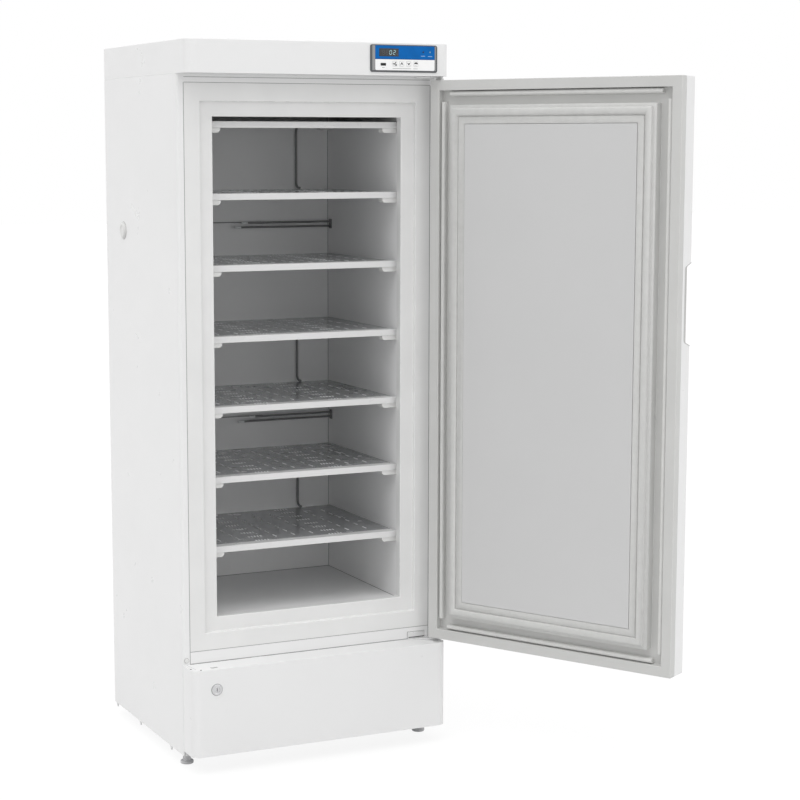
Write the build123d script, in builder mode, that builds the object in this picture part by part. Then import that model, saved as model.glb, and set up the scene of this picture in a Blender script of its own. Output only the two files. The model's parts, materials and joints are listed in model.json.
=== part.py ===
# Medical freezer: one upright cabinet with a single hinged door, seven cold shelves, a control
# module in the top cap, a keyed door bolt in the base panel and a machine compartment below.
#
# Millimetres. X runs to the viewer's right, Y to the back, Z up. The origin is on the floor, on
# the cabinet's centre line, in the plane of the front frame that the door closes against.
# The door stands open, as it is shown.

import os

from build123d import *

os.makedirs("parts", exist_ok=True)

# Overall size
cabinet_width = 650.0
cabinet_depth = 512.0
overall_height = 1668.0
cap_height = 75.0
front_overhang = 65.0
side_clearance = 30.0
base_panel_bottom = 41.5
base_panel_top = 246.5
front_corner_radius = 20.0

# Sheet metal and plastic walls
sheet = 1.0
cap_wall = 1.5
plastic_wall = 2.5
liner_wall = 1.2

# Front frame and inner chamber
flange_width = 17.5
side_edge_radius = 8.0
rail_height = 19.0
sill_height = 29.0
frame_face_side = 38.0
frame_face_end = 41.0
frame_recess = 10.0
ledge_side = 33.5
ledge_end = 34.0
frame_return = 22.0
chamber_margin = 8.0
back_wall = 64.0

# Door
door_gap = 5.0
door_top_gap = 8.5
door_bottom_gap = 9.2
door_rim_depth = 20.0
door_rim_width = 24.0
channel_depth = 18.0
channel_width = 34.0
dike_rise = 3.0
hinge_side_inset = 8.0
hinge_setback = 30.5
door_open_angle = 119.0
door_corner_radius = 3.0
door_front_edge = 1.5

# Seals
strip_width = 11.0
strip_height = 14.0
strip_corner_gap = 26.0
strip_wall_gap = 2.0
gasket_lip_width = 8.0
gasket_lip_thickness = 1.3
gasket_bulge_width = 17.0
gasket_shoulder = 6.5
gasket_ledge_clearance = 0.3
gasket_groove_width = 2.0
gasket_groove_drop = 2.0
gasket_border_width = 16.0
gasket_border_thickness = 7.3
panel_gap = 0.8
panel_height = 8.0

# Hinges
pin_diameter = 7.0
pin_clearance = 0.05
bush_width = 10.0
bush_collar_width = 14.0
bush_depth = 18.0
hinge_plate_thickness = 3.0
hinge_air = 0.5
hinge_foot_near = 20.0
hinge_foot_width = 31.0
hinge_foot_depth = 10.0
hinge_leg_width = 45.0
hinge_leg_height = 14.0
hinge_eye_radius = 8.0

# Handle recess in the door's free edge
handle_length = 165.0
handle_taper = 10.5
handle_width = 30.0
handle_seam_gap = 10.0
handle_rim = 9.5
handle_wall = 2.5
handle_radius = 8.0
handle_above_middle = 168.7

# Shelves
shelf_count = 7
first_bar_rise = 151.2
last_bar_drop = 18.2
bar_height = 14.7
bar_depth = 28.0
bar_front = 41.0
bar_side_gap = 9.0
bar_wall = 1.2
shelf_thickness = 1.5
shelf_front_inset = 4.0
shelf_rim = 5.0
shelf_side_gap = 3.0
shelf_back_gap = 14.0
slot_length = 22.0
slot_width = 3.2
slot_columns = (-4, -3, -1, 0, 1, 3, 4)
slot_rows = 3
slot_side_margin = 51.0
slot_end_margin = 44.5
roll_width = 6.0
roll_height = 2.0
roll_side_margin = 23.0
support_length = 40.0
support_depth = 24.0
support_height = 11.0
support_bevel = 5.0
support_setback = 2.0

# Riser tubes and sensors in the chamber
riser_side_gap = 89.0
riser_diameter = 6.0
riser_bend = 14.0
riser_overlap = 8.0
wall_touch = 0.3
probe_diameter = 5.0
probe_back_gap = 18.0
probe_rise = 75.0
probe_spacing = 11.0
probe_lengths = (256.0, 240.0)
probe_bracket_height = 24.0
probe_bracket_depth = 14.0
probe_bracket_thickness = 2.0

# Control module
module_side_margin = 119.0
module_rise = 1.0
module_width = 171.0
module_height = 62.0
module_radius = 5.0
module_flange = 2.0
module_body_width = 150.0
module_body_height = 50.0
module_body_depth = 22.0
module_wall = 2.0
module_clearance = 0.3
overlay_shift = (2.9, 1.1)
overlay_width = 152.0
overlay_height = 55.8
overlay_thickness = 0.8
overlay_radius = 3.0
display_shift = (-38.3, 13.5)
display_width = 49.5
display_height = 18.0
usb_shift = (-52.8, -13.5)
usb_width = 13.0
usb_height = 5.6
usb_wall = 0.8
key_shifts = {"set": -23.6, "up": -6.0, "down": 11.8, "alarm": 30.3}
key_drop = 11.8
key_size = 11.0
key_corner = 2.5
key_clearance = 0.3
key_proud = 0.8
key_rim = 1.0
key_rim_thickness = 1.0
key_travel = 0.5
board_gap = 0.3
board_thickness = 1.6

# Door lock in the base panel
base_wall = 1.2
lock_side_margin = 58.0
lock_drop = 48.0
lock_face_diameter = 25.0
lock_face_proud = 2.0
lock_face_edge = 0.8
lock_core_diameter = 13.0
lock_core_clearance = 0.1
lock_body_size = 17.0
lock_core_recess = 0.4
key_slot_length = 8.0
key_slot_width = 1.6
key_slot_depth = 5.0
bolt_setback = 17.0
bolt_width = 14.0
bolt_thickness = 4.0
bolt_travel = 18.0
bolt_clearance = 0.4
bolt_tail = 18.0
bolt_tip_drop = 1.0
bolt_guide_wall = 2.0
bolt_guide_height = 30.0
keeper_clearance = 1.5

# Feet and rollers
foot_side_margin = 22.0
foot_y = 42.0
foot_diameter = 31.0
foot_pad = 7.0
foot_collar_width = 18.0
foot_collar_top = 20.0
foot_collar_gap = 0.3
foot_stem_diameter = 10.0
foot_stem_clearance = 0.1
foot_stem_above = 10.0
roller_side_margin = 80.0
roller_back_gap = 72.0
roller_diameter = 26.0
roller_width = 18.0
axle_diameter = 6.0
axle_clearance = 0.1
roller_side_clearance = 0.8
bracket_thickness = 2.0
bracket_tip = 12.0

# Access port through the left wall
port_back_gap = 67.0
port_drop = 362.0
port_flange_diameter = 40.0
port_flange_thickness = 1.5
port_head_diameter = 36.0
port_head_height = 4.0
port_head_edge = 2.5
port_bore = 26.0
port_tube_wall = 2.0
port_plug_clearance = 0.4
port_plug_length = 50.0

# Machine compartment
deck_thickness = 1.5
tray_thickness = 2.0
tray_upturn = 12.0
compressor_x = -120.0
compressor_back_gap = 152.0
compressor_headroom = 37.5
compressor_size = 156.0
compressor_dome = 28.0
mount_height = 14.0
mount_width = 22.0
mount_spread = 66.0
mount_plate = 3.0
condenser_x = 120.0
condenser_back_gap = 212.0
condenser_headroom = 64.5
condenser_width = 210.0
condenser_depth = 50.0
condenser_fins = 8
fin_thickness = 1.5
condenser_tubes = 2
condenser_tube_diameter = 8.0
condenser_tube_overhang = 10.0
fan_diameter = 130.0
fan_hub_diameter = 36.0
fan_depth = 20.0
fan_blades = 5
fan_blade_chord = 34.0
fan_blade_thickness = 2.0
fan_blade_pitch = 30.0
fan_tip_clearance = 4.0
fan_end_clearance = 3.0
fan_shaft_diameter = 6.0
fan_shaft_clearance = 0.05
shroud_depth = 30.0
shroud_wall = 2.0
motor_width = 60.0
motor_length = 45.0
motor_corner = 12.0
motor_arm_width = 8.0
motor_arm_depth = 5.0
pipe_diameter = 6.0
pipe_bend = 12.0
pipe_offset = 20.0
drier_diameter = 19.0
drier_length = 110.0
grille_slots = 10
grille_slot_width = 240.0
grille_slot_height = 6.0
grille_slot_pitch = 15.0
grille_columns = 2
grille_column_pitch = 290.0
inlet_side_margin = 55.0
inlet_z = 55.0
inlet_width = 28.0
inlet_height = 22.0
inlet_depth = 24.0
inlet_wall = 2.5
inlet_blade_width = 2.0
inlet_blade_length = 5.0
inlet_blade_pitch = 7.0
inlet_blade_recess = 3.0

# Small parts
plug_diameter = 6.0
plug_height_above_sill = 10.0
plug_head_diameter = 8.0
plug_head = 0.8
plug_leg = 3.0
plug_leg_width = 4.0

# Flats that thin tubes, the drier and round rims are drawn with
tube_flat_count = 8
drier_flat_count = 12
rim_flat_count = 24

# Positions worked out from the sizes above
half_width = cabinet_width / 2
cap_bottom = overall_height - cap_height
front_y = -front_overhang
back_y = cabinet_depth
chamber_depth = cabinet_depth - back_wall
frame_half_width = half_width - flange_width
frame_top = cap_bottom - rail_height
frame_bottom = base_panel_top + sill_height
frame_height = frame_top - frame_bottom
opening_z = (frame_top + frame_bottom) / 2
frame_outer = (2 * frame_half_width, frame_height)
frame_step = (frame_outer[0] - 2 * frame_face_side, frame_outer[1] - 2 * frame_face_end)
opening = (frame_step[0] - 2 * ledge_side, frame_step[1] - 2 * ledge_end)
chamber = (opening[0] + 2 * chamber_margin, opening[1] + 2 * chamber_margin)
liner_outer = (chamber[0] + 2 * liner_wall, chamber[1] + 2 * liner_wall)
chamber_front = frame_recess + frame_return
chamber_half = chamber[0] / 2
chamber_bottom = opening_z - chamber[1] / 2
chamber_top = opening_z + chamber[1] / 2
liner_back = chamber_depth + liner_wall

door_top = cap_bottom - door_top_gap
door_bottom = base_panel_top + door_bottom_gap
door_height = door_top - door_bottom
door_z = (door_top + door_bottom) / 2
door_size = (cabinet_width, door_height)
door_inner_y = -door_gap
door_seam_y = door_inner_y - door_rim_depth
channel_floor_y = door_inner_y - channel_depth
channel_outer = (door_size[0] - 2 * door_rim_width, door_size[1] - 2 * door_rim_width)
channel_inner = (channel_outer[0] - 2 * channel_width, channel_outer[1] - 2 * channel_width)
dike_y = door_inner_y + dike_rise
hinge_x = half_width - hinge_side_inset
hinge_y = -hinge_setback
hinge_axis = Axis((hinge_x, hinge_y, 0), (0, 0, 1))


def front_plane(y, x=0.0, z=0.0):
    """Plane that faces the viewer at depth y: its own X runs right and its own Y runs up."""
    return Plane(origin=(x, y, z), x_dir=(1, 0, 0), z_dir=(0, -1, 0))


def side_plane(x, y=0.0, z=0.0):
    """Plane that faces right at x: its own X runs to the back and its own Y runs up."""
    return Plane(origin=(x, y, z), x_dir=(0, 1, 0), z_dir=(1, 0, 0))


def ring(y, z, outer, inner, depth):
    """Rectangular ring facing the viewer at depth y, carried back by depth."""
    with BuildSketch(front_plane(y, z=z)) as outline:
        Rectangle(*outer)
        Rectangle(*inner, mode=Mode.SUBTRACT)
    extrude(outline.sketch, amount=-depth)


def grown(size, margin):
    """A (width, height) pair made larger by the margin on every side."""
    return (size[0] + 2 * margin, size[1] + 2 * margin)


def save(part, name):
    """Write one finished piece under its own name."""
    part.label = name
    export_step(part, f"parts/{name}.step")


def save_on_door(part, name):
    """Write a piece of the door, swung open about the hinge pins."""
    save(part.rotate(hinge_axis, door_open_angle), name)


# Side panels: one sheet each, with a rounded front edge and an inward flange, mitred at the top
port_place = (chamber_depth - port_back_gap, cap_bottom - port_drop)
port_sleeve_radius = port_bore / 2 + port_tube_wall
panel_bottom = side_clearance
mitre_x = half_width - side_edge_radius
mitre_z = frame_top + rail_height * (mitre_x - frame_half_width) / flange_width
plug_place = (-half_width + flange_width / 2, base_panel_top + plug_height_above_sill)


def side_panel(side):
    with BuildPart() as panel:
        with BuildSketch(Plane.XY.offset(panel_bottom)):
            with BuildLine():
                FilletPolyline(
                    (side * frame_half_width, 0),
                    (side * half_width, 0),
                    (side * half_width, back_y),
                    radius=side_edge_radius,
                )
                offset(amount=sheet, side=Side.LEFT if side > 0 else Side.RIGHT)
            make_face()
        extrude(amount=cap_bottom - panel_bottom)
        with BuildSketch(front_plane(0)):
            with BuildLine():
                Polyline(
                    (side * frame_half_width, frame_top),
                    (side * mitre_x, mitre_z),
                    (side * mitre_x, cap_bottom),
                    (side * frame_half_width, cap_bottom),
                    close=True,
                )
            make_face()
        extrude(amount=-sheet, mode=Mode.SUBTRACT)
    return panel.part


save(side_panel(1), "right_side_panel")

with BuildPart() as left_side_panel:
    add(side_panel(-1))
    with BuildSketch(side_plane(-half_width)):
        with Locations(port_place):
            RegularPolygon(port_sleeve_radius, rim_flat_count)
    extrude(amount=sheet, mode=Mode.SUBTRACT)
    with BuildSketch(front_plane(0)):
        with Locations(plug_place):
            Circle(plug_diameter / 2)
    extrude(amount=-plug_leg, mode=Mode.SUBTRACT)
save(left_side_panel.part, "left_side_panel")

# Plug in the spare hinge hole of the left flange: a flat head on a square snap-in leg
with BuildPart() as hinge_hole_plug:
    with BuildSketch(front_plane(-plug_head)):
        with Locations(plug_place):
            Circle(plug_head_diameter / 2)
    extrude(amount=-plug_head)
    with BuildSketch(front_plane(0)):
        with Locations(plug_place):
            Rectangle(plug_leg_width, plug_leg_width)
    extrude(amount=-plug_leg)
save(hinge_hole_plug.part, "hinge_hole_plug")

# Front rails: the header, mitred into the side flanges, and the sill under the frame
with BuildPart() as front_rails:
    with BuildSketch(front_plane(0)):
        with BuildLine():
            Polyline(
                (-frame_half_width, frame_top),
                (frame_half_width, frame_top),
                (mitre_x, mitre_z),
                (mitre_x, cap_bottom),
                (-mitre_x, cap_bottom),
                (-mitre_x, mitre_z),
                close=True,
            )
        make_face()
    extrude(amount=-sheet)
    with BuildSketch(front_plane(0)):
        with Locations((0, (frame_bottom + base_panel_top) / 2)):
            Rectangle(2 * frame_half_width, sill_height)
    extrude(amount=-sheet)
save(front_rails.part, "front_rails")

# Front frame: a moulded ring with a flat face, a step back to a ledge and a return to the liner
with BuildPart() as door_frame:
    ring(0, opening_z, frame_outer, frame_step, plastic_wall)
    ring(0, opening_z, grown(frame_step, plastic_wall), frame_step, frame_recess + plastic_wall)
    ring(frame_recess, opening_z, frame_step, opening, plastic_wall)
    ring(frame_recess, opening_z, grown(opening, plastic_wall), opening, frame_return)
    ring(chamber_front - plastic_wall, opening_z, liner_outer, opening, plastic_wall)
save(door_frame.part, "door_frame")

# Inner liner: a folded tray that lines the chamber, open to the front
with BuildPart() as inner_liner:
    with BuildSketch(front_plane(chamber_front, z=opening_z)):
        Rectangle(*liner_outer)
    extrude(amount=chamber_front - liner_back)
    with BuildSketch(front_plane(chamber_front, z=opening_z)):
        Rectangle(*chamber)
    extrude(amount=chamber_front - chamber_depth, mode=Mode.SUBTRACT)
    with BuildSketch(side_plane(-liner_outer[0] / 2)):
        with Locations(port_place):
            RegularPolygon(port_sleeve_radius, rim_flat_count)
    extrude(amount=liner_wall, mode=Mode.SUBTRACT)
save(inner_liner.part, "inner_liner")

# Foamed wall between the outer sheets and the liner
foam_half = half_width - sheet
foam_bottom = base_panel_top + deck_thickness
foam_front = side_edge_radius
foam_size = (2 * foam_half, cap_bottom - foam_bottom)
foam_z = (cap_bottom + foam_bottom) / 2

with BuildPart() as cabinet_foam:
    with BuildSketch(front_plane(foam_front, z=foam_z)):
        Rectangle(*foam_size)
    extrude(amount=foam_front - back_y + sheet)
    with BuildSketch(front_plane(foam_front, z=opening_z)):
        Rectangle(*liner_outer)
    extrude(amount=foam_front - liner_back, mode=Mode.SUBTRACT)
    with BuildSketch(front_plane(foam_front, z=opening_z)):
        Rectangle(*grown(frame_step, plastic_wall))
    extrude(amount=foam_front - frame_recess - plastic_wall, mode=Mode.SUBTRACT)
    with BuildSketch(side_plane(-foam_half)):
        with Locations(port_place):
            RegularPolygon(port_sleeve_radius, rim_flat_count)
    extrude(amount=foam_half - liner_outer[0] / 2, mode=Mode.SUBTRACT)
save(cabinet_foam.part, "cabinet_foam")

# Back sheet of the foamed part, and the deck that closes it from below
with BuildPart() as back_panel:
    with BuildSketch(front_plane(back_y - sheet)):
        with Locations((0, (cap_bottom + base_panel_top) / 2)):
            Rectangle(2 * foam_half, cap_bottom - base_panel_top)
    extrude(amount=-sheet)
save(back_panel.part, "back_panel")

with BuildPart() as deck_plate:
    with BuildSketch(Plane.XY.offset(base_panel_top)):
        with Locations((0, (foam_front + back_y - sheet) / 2)):
            Rectangle(2 * foam_half, back_y - sheet - foam_front)
    extrude(amount=deck_thickness)
save(deck_plate.part, "deck_plate")

# Top cap: a pressed cover with rounded front corners, closed below along the overhang
module_place = (half_width - module_side_margin, cap_bottom + cap_height / 2 + module_rise)


def rounded_front_plan(inset):
    """Plan outline in front of the frame plane, its two front corners rounded, set in by inset."""
    side = half_width - inset
    with BuildLine() as outline:
        FilletPolyline(
            (side, 0),
            (side, front_y + inset),
            (-side, front_y + inset),
            (-side, 0),
            radius=front_corner_radius - inset,
        )
        Line((-side, 0), (side, 0))
    make_face(outline.line)


with BuildPart() as top_cap:
    with BuildSketch(Plane.XY.offset(cap_bottom)):
        rounded_front_plan(0)
        with Locations((0, back_y / 2)):
            Rectangle(cabinet_width, back_y)
    extrude(amount=cap_height)
    chamfer(top_cap.faces().sort_by(Axis.Z)[-1].edges(), cap_wall)
    with BuildSketch(Plane.XY.offset(cap_bottom)):
        with Locations((0, back_y / 2)):
            Rectangle(cabinet_width - 2 * cap_wall, back_y - 2 * cap_wall)
    extrude(amount=cap_height - cap_wall, mode=Mode.SUBTRACT)
    with BuildSketch(Plane.XY.offset(cap_bottom + cap_wall)):
        rounded_front_plan(cap_wall)
        with Locations((0, cap_wall)):
            Rectangle(cabinet_width - 2 * cap_wall, 2 * cap_wall)
    extrude(amount=cap_height - 2 * cap_wall, mode=Mode.SUBTRACT)
    with BuildSketch(front_plane(front_y)):
        with Locations(module_place):
            Rectangle(module_body_width + 2 * module_clearance, module_body_height + 2 * module_clearance)
    extrude(amount=-cap_wall, mode=Mode.SUBTRACT)
save(top_cap.part, "top_cap")

# Control module: a bezel set in the cap, its face sheet, display, data socket and keys
module_face = front_y - module_flange
board_y = front_y + key_rim_thickness + key_travel + board_gap


def on_module(shift):
    """Place on the module's face, shifted to the right and up from its centre."""
    return (module_place[0] + shift[0], module_place[1] + shift[1])


overlay_place = on_module(overlay_shift)
display_place = on_module(display_shift)
usb_place = on_module(usb_shift)
key_places = {name: on_module((shift, -key_drop)) for name, shift in key_shifts.items()}


def key_outline(size):
    """Square key with its corners cut off."""
    chamfer(Rectangle(size, size).vertices(), key_corner)


def module_openings():
    """Holes for the keys, the display and the data socket."""
    with Locations(*key_places.values()):
        key_outline(key_size)
    with Locations(display_place):
        Rectangle(display_width, display_height)
    with Locations(usb_place):
        Rectangle(usb_width, usb_height)


with BuildPart() as control_bezel:
    with BuildSketch(front_plane(module_face)):
        with Locations(module_place):
            RectangleRounded(module_width, module_height, module_radius)
    extrude(amount=-module_flange)
    with BuildSketch(front_plane(front_y)):
        with Locations(module_place):
            Rectangle(module_body_width, module_body_height)
            Rectangle(
                module_body_width - 2 * module_wall,
                module_body_height - 2 * module_wall,
                mode=Mode.SUBTRACT,
            )
    extrude(amount=-module_body_depth)
    with BuildSketch(front_plane(module_face)):
        with Locations(overlay_place):
            RectangleRounded(overlay_width, overlay_height, overlay_radius)
    extrude(amount=-overlay_thickness, mode=Mode.SUBTRACT)
    with BuildSketch(front_plane(module_face)):
        module_openings()
    extrude(amount=-module_flange, mode=Mode.SUBTRACT)
save(control_bezel.part, "control_bezel")

with BuildPart() as control_overlay:
    with BuildSketch(front_plane(module_face)):
        with Locations(overlay_place):
            RectangleRounded(overlay_width, overlay_height, overlay_radius)
    extrude(amount=-overlay_thickness)
    with BuildSketch(front_plane(module_face)):
        module_openings()
    extrude(amount=-overlay_thickness, mode=Mode.SUBTRACT)
save(control_overlay.part, "control_overlay")

with BuildPart() as display_module:
    with BuildSketch(front_plane(module_face)):
        with Locations(display_place):
            Rectangle(display_width, display_height)
    extrude(amount=module_face - board_y)
save(display_module.part, "display_module")

with BuildPart() as usb_port:
    with BuildSketch(front_plane(module_face)):
        with Locations(usb_place):
            Rectangle(usb_width, usb_height)
    extrude(amount=module_face - board_y)
    with BuildSketch(front_plane(module_face)):
        with Locations(usb_place):
            Rectangle(usb_width - 2 * usb_wall, usb_height - 2 * usb_wall)
    extrude(amount=module_face - board_y + usb_wall, mode=Mode.SUBTRACT)
save(usb_port.part, "usb_port")

with BuildPart() as controller_board:
    with BuildSketch(front_plane(board_y)):
        with Locations(module_place):
            Rectangle(module_body_width - 2 * module_wall, module_body_height - 2 * module_wall)
    extrude(amount=-board_thickness)
save(controller_board.part, "controller_board")

for key_name, key_place in key_places.items():
    with BuildPart() as key_cap:
        with BuildSketch(front_plane(module_face - key_proud)):
            with Locations(key_place):
                key_outline(key_size - 2 * key_clearance)
        extrude(amount=-key_proud - module_flange)
        with BuildSketch(front_plane(front_y)):
            with Locations(key_place):
                Rectangle(key_size + 2 * key_rim, key_size + 2 * key_rim)
        extrude(amount=-key_rim_thickness)
    save(key_cap.part, f"key_{key_name}")

# Base panel: a folded cover in front of the machine compartment, open to the back and below
lock_x = lock_side_margin - half_width
lock_z = base_panel_top - lock_drop
bolt_y = front_y + bolt_setback

with BuildPart() as base_panel:
    with BuildSketch(Plane.XY.offset(base_panel_bottom)):
        rounded_front_plan(0)
    extrude(amount=base_panel_top - base_panel_bottom)
    with BuildSketch(Plane.XY.offset(base_panel_bottom)):
        rounded_front_plan(base_wall)
    extrude(amount=base_panel_top - base_panel_bottom - base_wall, mode=Mode.SUBTRACT)
    with BuildSketch(front_plane(front_y)):
        with Locations((lock_x, lock_z)):
            Rectangle(lock_body_size, lock_body_size)
    extrude(amount=-base_wall, mode=Mode.SUBTRACT)
    with BuildSketch(Plane.XY.offset(base_panel_top)):
        with Locations((lock_x, bolt_y)):
            Rectangle(bolt_width + 2 * bolt_clearance, bolt_thickness + 2 * bolt_clearance)
    extrude(amount=-base_wall, mode=Mode.SUBTRACT)
save(base_panel.part, "base_panel")

# Lock: a housing whose square neck stands in the base panel, a core turned by a key and its bolt
guide_front = bolt_y - bolt_thickness / 2 - bolt_clearance - bolt_guide_wall
guide_depth = bolt_thickness + 2 * (bolt_clearance + bolt_guide_wall)
guide_width = bolt_width + 2 * (bolt_clearance + bolt_guide_wall)

with BuildPart() as lock_housing:
    with BuildSketch(front_plane(front_y - lock_face_proud)):
        with Locations((lock_x, lock_z)):
            RegularPolygon(lock_face_diameter / 2, rim_flat_count)
    extrude(amount=-lock_face_proud)
    chamfer(lock_housing.faces().sort_by(Axis.Y)[0].edges(), lock_face_edge)
    with BuildSketch(front_plane(front_y)):
        with Locations((lock_x, lock_z)):
            Rectangle(lock_body_size, lock_body_size)
    extrude(amount=front_y - guide_front)
    with BuildSketch(front_plane(guide_front)):
        with Locations((lock_x, lock_z)):
            Rectangle(guide_width, bolt_guide_height)
    extrude(amount=-guide_depth)
    with BuildSketch(front_plane(front_y - lock_face_proud)):
        with Locations((lock_x, lock_z)):
            Circle(lock_core_diameter / 2 + lock_core_clearance)
    extrude(amount=front_y - lock_face_proud - guide_front - bolt_guide_wall, mode=Mode.SUBTRACT)
    with BuildSketch(Plane.XY.offset(lock_z - bolt_guide_height / 2)):
        with Locations((lock_x, bolt_y)):
            Rectangle(bolt_width + 2 * bolt_clearance, bolt_thickness + 2 * bolt_clearance)
    extrude(amount=bolt_guide_height, mode=Mode.SUBTRACT)
save(lock_housing.part, "lock_housing")

core_front = front_y - lock_face_proud + lock_core_recess

with BuildPart() as lock_cylinder:
    with BuildSketch(front_plane(core_front)):
        with Locations((lock_x, lock_z)):
            Circle(lock_core_diameter / 2)
    extrude(amount=core_front - guide_front - bolt_guide_wall)
    with BuildSketch(front_plane(core_front)):
        with Locations((lock_x, lock_z)):
            Rectangle(key_slot_width, key_slot_length)
    extrude(amount=-key_slot_depth, mode=Mode.SUBTRACT)
save(lock_cylinder.part, "lock_cylinder")

bolt_tip = base_panel_top - bolt_tip_drop
bolt_foot = lock_z - bolt_tail

with BuildPart() as lock_bolt:
    with BuildSketch(Plane.XY.offset(bolt_foot)):
        with Locations((lock_x, bolt_y)):
            Rectangle(bolt_width, bolt_thickness)
    extrude(amount=bolt_tip - bolt_foot)
    chamfer(lock_bolt.faces().sort_by(Axis.Z)[-1].edges(), bolt_tip_drop)
save(lock_bolt.part, "lock_bolt")

# Hinge plates on the cabinet, with the two pins welded to them that the door turns on
top_plate_z = cap_bottom - hinge_plate_thickness
bottom_plate_top = base_panel_top + hinge_plate_thickness
hinge_foot_x = hinge_x - hinge_foot_near - hinge_foot_width / 2
hinge_leg_x = hinge_x - hinge_foot_near - hinge_leg_width / 2


def hinge_plate_plan():
    """Plan of a hinge plate: an eye about the pin, drawn back to a foot at the frame plane."""
    with BuildSketch(Plane.XY) as plan:
        with Locations((hinge_x, hinge_y)):
            Circle(hinge_eye_radius)
        with Locations((hinge_foot_x, -hinge_foot_depth / 2)):
            Rectangle(hinge_foot_width, hinge_foot_depth)
        make_hull()
    return plan.sketch


with BuildPart() as top_hinge_plate:
    extrude(hinge_plate_plan().moved(Location((0, 0, top_plate_z))), amount=hinge_plate_thickness)
save(top_hinge_plate.part, "top_hinge_plate")

with BuildPart() as bottom_hinge_plate:
    extrude(hinge_plate_plan().moved(Location((0, 0, base_panel_top))), amount=hinge_plate_thickness)
    with BuildSketch(front_plane(-hinge_plate_thickness)):
        with Locations((hinge_leg_x, base_panel_top + (hinge_leg_height + hinge_plate_thickness) / 2)):
            Rectangle(hinge_leg_width, hinge_leg_height + hinge_plate_thickness)
    extrude(amount=-hinge_plate_thickness)
save(bottom_hinge_plate.part, "bottom_hinge_plate")

with BuildPart() as hinge_pins:
    with BuildSketch(Plane.XY.offset(door_top - bush_depth)):
        with Locations((hinge_x, hinge_y)):
            Circle(pin_diameter / 2)
    extrude(amount=top_plate_z - door_top + bush_depth)
    with BuildSketch(Plane.XY.offset(bottom_plate_top)):
        with Locations((hinge_x, hinge_y)):
            Circle(pin_diameter / 2)
    extrude(amount=door_bottom + bush_depth - bottom_plate_top)
save(hinge_pins.part, "hinge_pins")

# Door skin: a pressed pan, white outside, open to the back, with the handle notch in its free edge
keeper_depth = bolt_tip + bolt_travel + keeper_clearance - door_bottom
handle_z = door_z + handle_above_middle
handle_front_half = handle_length / 2 + handle_taper
handle_back_y = door_seam_y - handle_seam_gap
handle_pocket_y = handle_back_y - handle_rim
handle_cup_y = handle_pocket_y + handle_wall
handle_slope = handle_taper / (handle_back_y - front_y)


def handle_outline(back, margin):
    """Tapered outline on the free edge, from the door's face to back, set in by margin at its ends."""
    front_half = handle_front_half - margin
    back_half = front_half - handle_slope * (back - front_y)
    with BuildSketch(side_plane(-half_width, z=handle_z)) as outline:
        with BuildLine():
            FilletPolyline(
                (front_y, -front_half),
                (back, -back_half),
                (back, back_half),
                (front_y, front_half),
                radius=handle_radius - margin,
            )
            Line((front_y, front_half), (front_y, -front_half))
        make_face()
    return outline.sketch


def bolt_keeper(depth):
    """Pocket in the door's lower edge that the raised lock bolt stands in."""
    with BuildSketch(Plane.XY.offset(door_bottom)) as outline:
        with Locations((lock_x, bolt_y)):
            Rectangle(bolt_width + 2 * keeper_clearance, bolt_thickness + 2 * keeper_clearance)
    extrude(outline.sketch, amount=depth, mode=Mode.SUBTRACT)


def bush_holes():
    """Holes for the hinge bushes in both ends of the door."""
    for end, direction in ((door_bottom, 1), (door_top, -1)):
        with BuildSketch(Plane.XY.offset(end)) as outline:
            with Locations((hinge_x, hinge_y)):
                Rectangle(bush_width, bush_width)
        extrude(outline.sketch, amount=direction * bush_depth, mode=Mode.SUBTRACT)


with BuildPart() as door_skin:
    with BuildSketch(front_plane(front_y, z=door_z)):
        RectangleRounded(*door_size, door_corner_radius)
    extrude(amount=front_y - door_seam_y)
    chamfer(door_skin.faces().sort_by(Axis.Y)[0].edges(), door_front_edge)
    with BuildSketch(front_plane(front_y + sheet, z=door_z)):
        Rectangle(*grown(door_size, -sheet))
    extrude(amount=front_y + sheet - door_seam_y, mode=Mode.SUBTRACT)
    extrude(handle_outline(handle_back_y, 0), amount=sheet, mode=Mode.SUBTRACT)
    with BuildSketch(front_plane(front_y)):
        with Locations((handle_width / 2 - half_width, handle_z)):
            Rectangle(handle_width, 2 * handle_front_half)
    extrude(amount=-sheet, mode=Mode.SUBTRACT)
    bolt_keeper(sheet)
    bush_holes()
save_on_door(door_skin.part, "door_skin")

# Handle cup: a moulded finger recess, open to the free edge and to the door's face
with BuildPart() as handle_cup:
    extrude(handle_outline(handle_back_y, 0), amount=handle_wall)
    extrude(handle_outline(handle_cup_y, 0), amount=handle_width)
    pocket = handle_outline(handle_pocket_y, handle_wall)
    extrude(pocket, amount=handle_width - handle_wall, mode=Mode.SUBTRACT)
save_on_door(handle_cup.part, "handle_cup")

# Door liner: a moulded tray with a rim, a channel all round and a raised plateau in the middle
with BuildPart() as door_liner:
    ring(door_seam_y, door_z, door_size, grown(door_size, -plastic_wall), door_rim_depth)
    ring(door_inner_y - plastic_wall, door_z, door_size, channel_outer, plastic_wall)
    ring(
        channel_floor_y - plastic_wall,
        door_z,
        grown(channel_outer, plastic_wall),
        channel_outer,
        channel_depth + plastic_wall,
    )
    ring(
        channel_floor_y - plastic_wall,
        door_z,
        channel_outer,
        grown(channel_inner, -plastic_wall),
        plastic_wall,
    )
    ring(
        channel_floor_y - plastic_wall,
        door_z,
        channel_inner,
        grown(channel_inner, -plastic_wall),
        dike_y - channel_floor_y + plastic_wall,
    )
    with BuildSketch(front_plane(dike_y - plastic_wall, z=door_z)):
        Rectangle(*channel_inner)
    extrude(amount=-plastic_wall)
save_on_door(door_liner.part, "door_liner")

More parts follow.
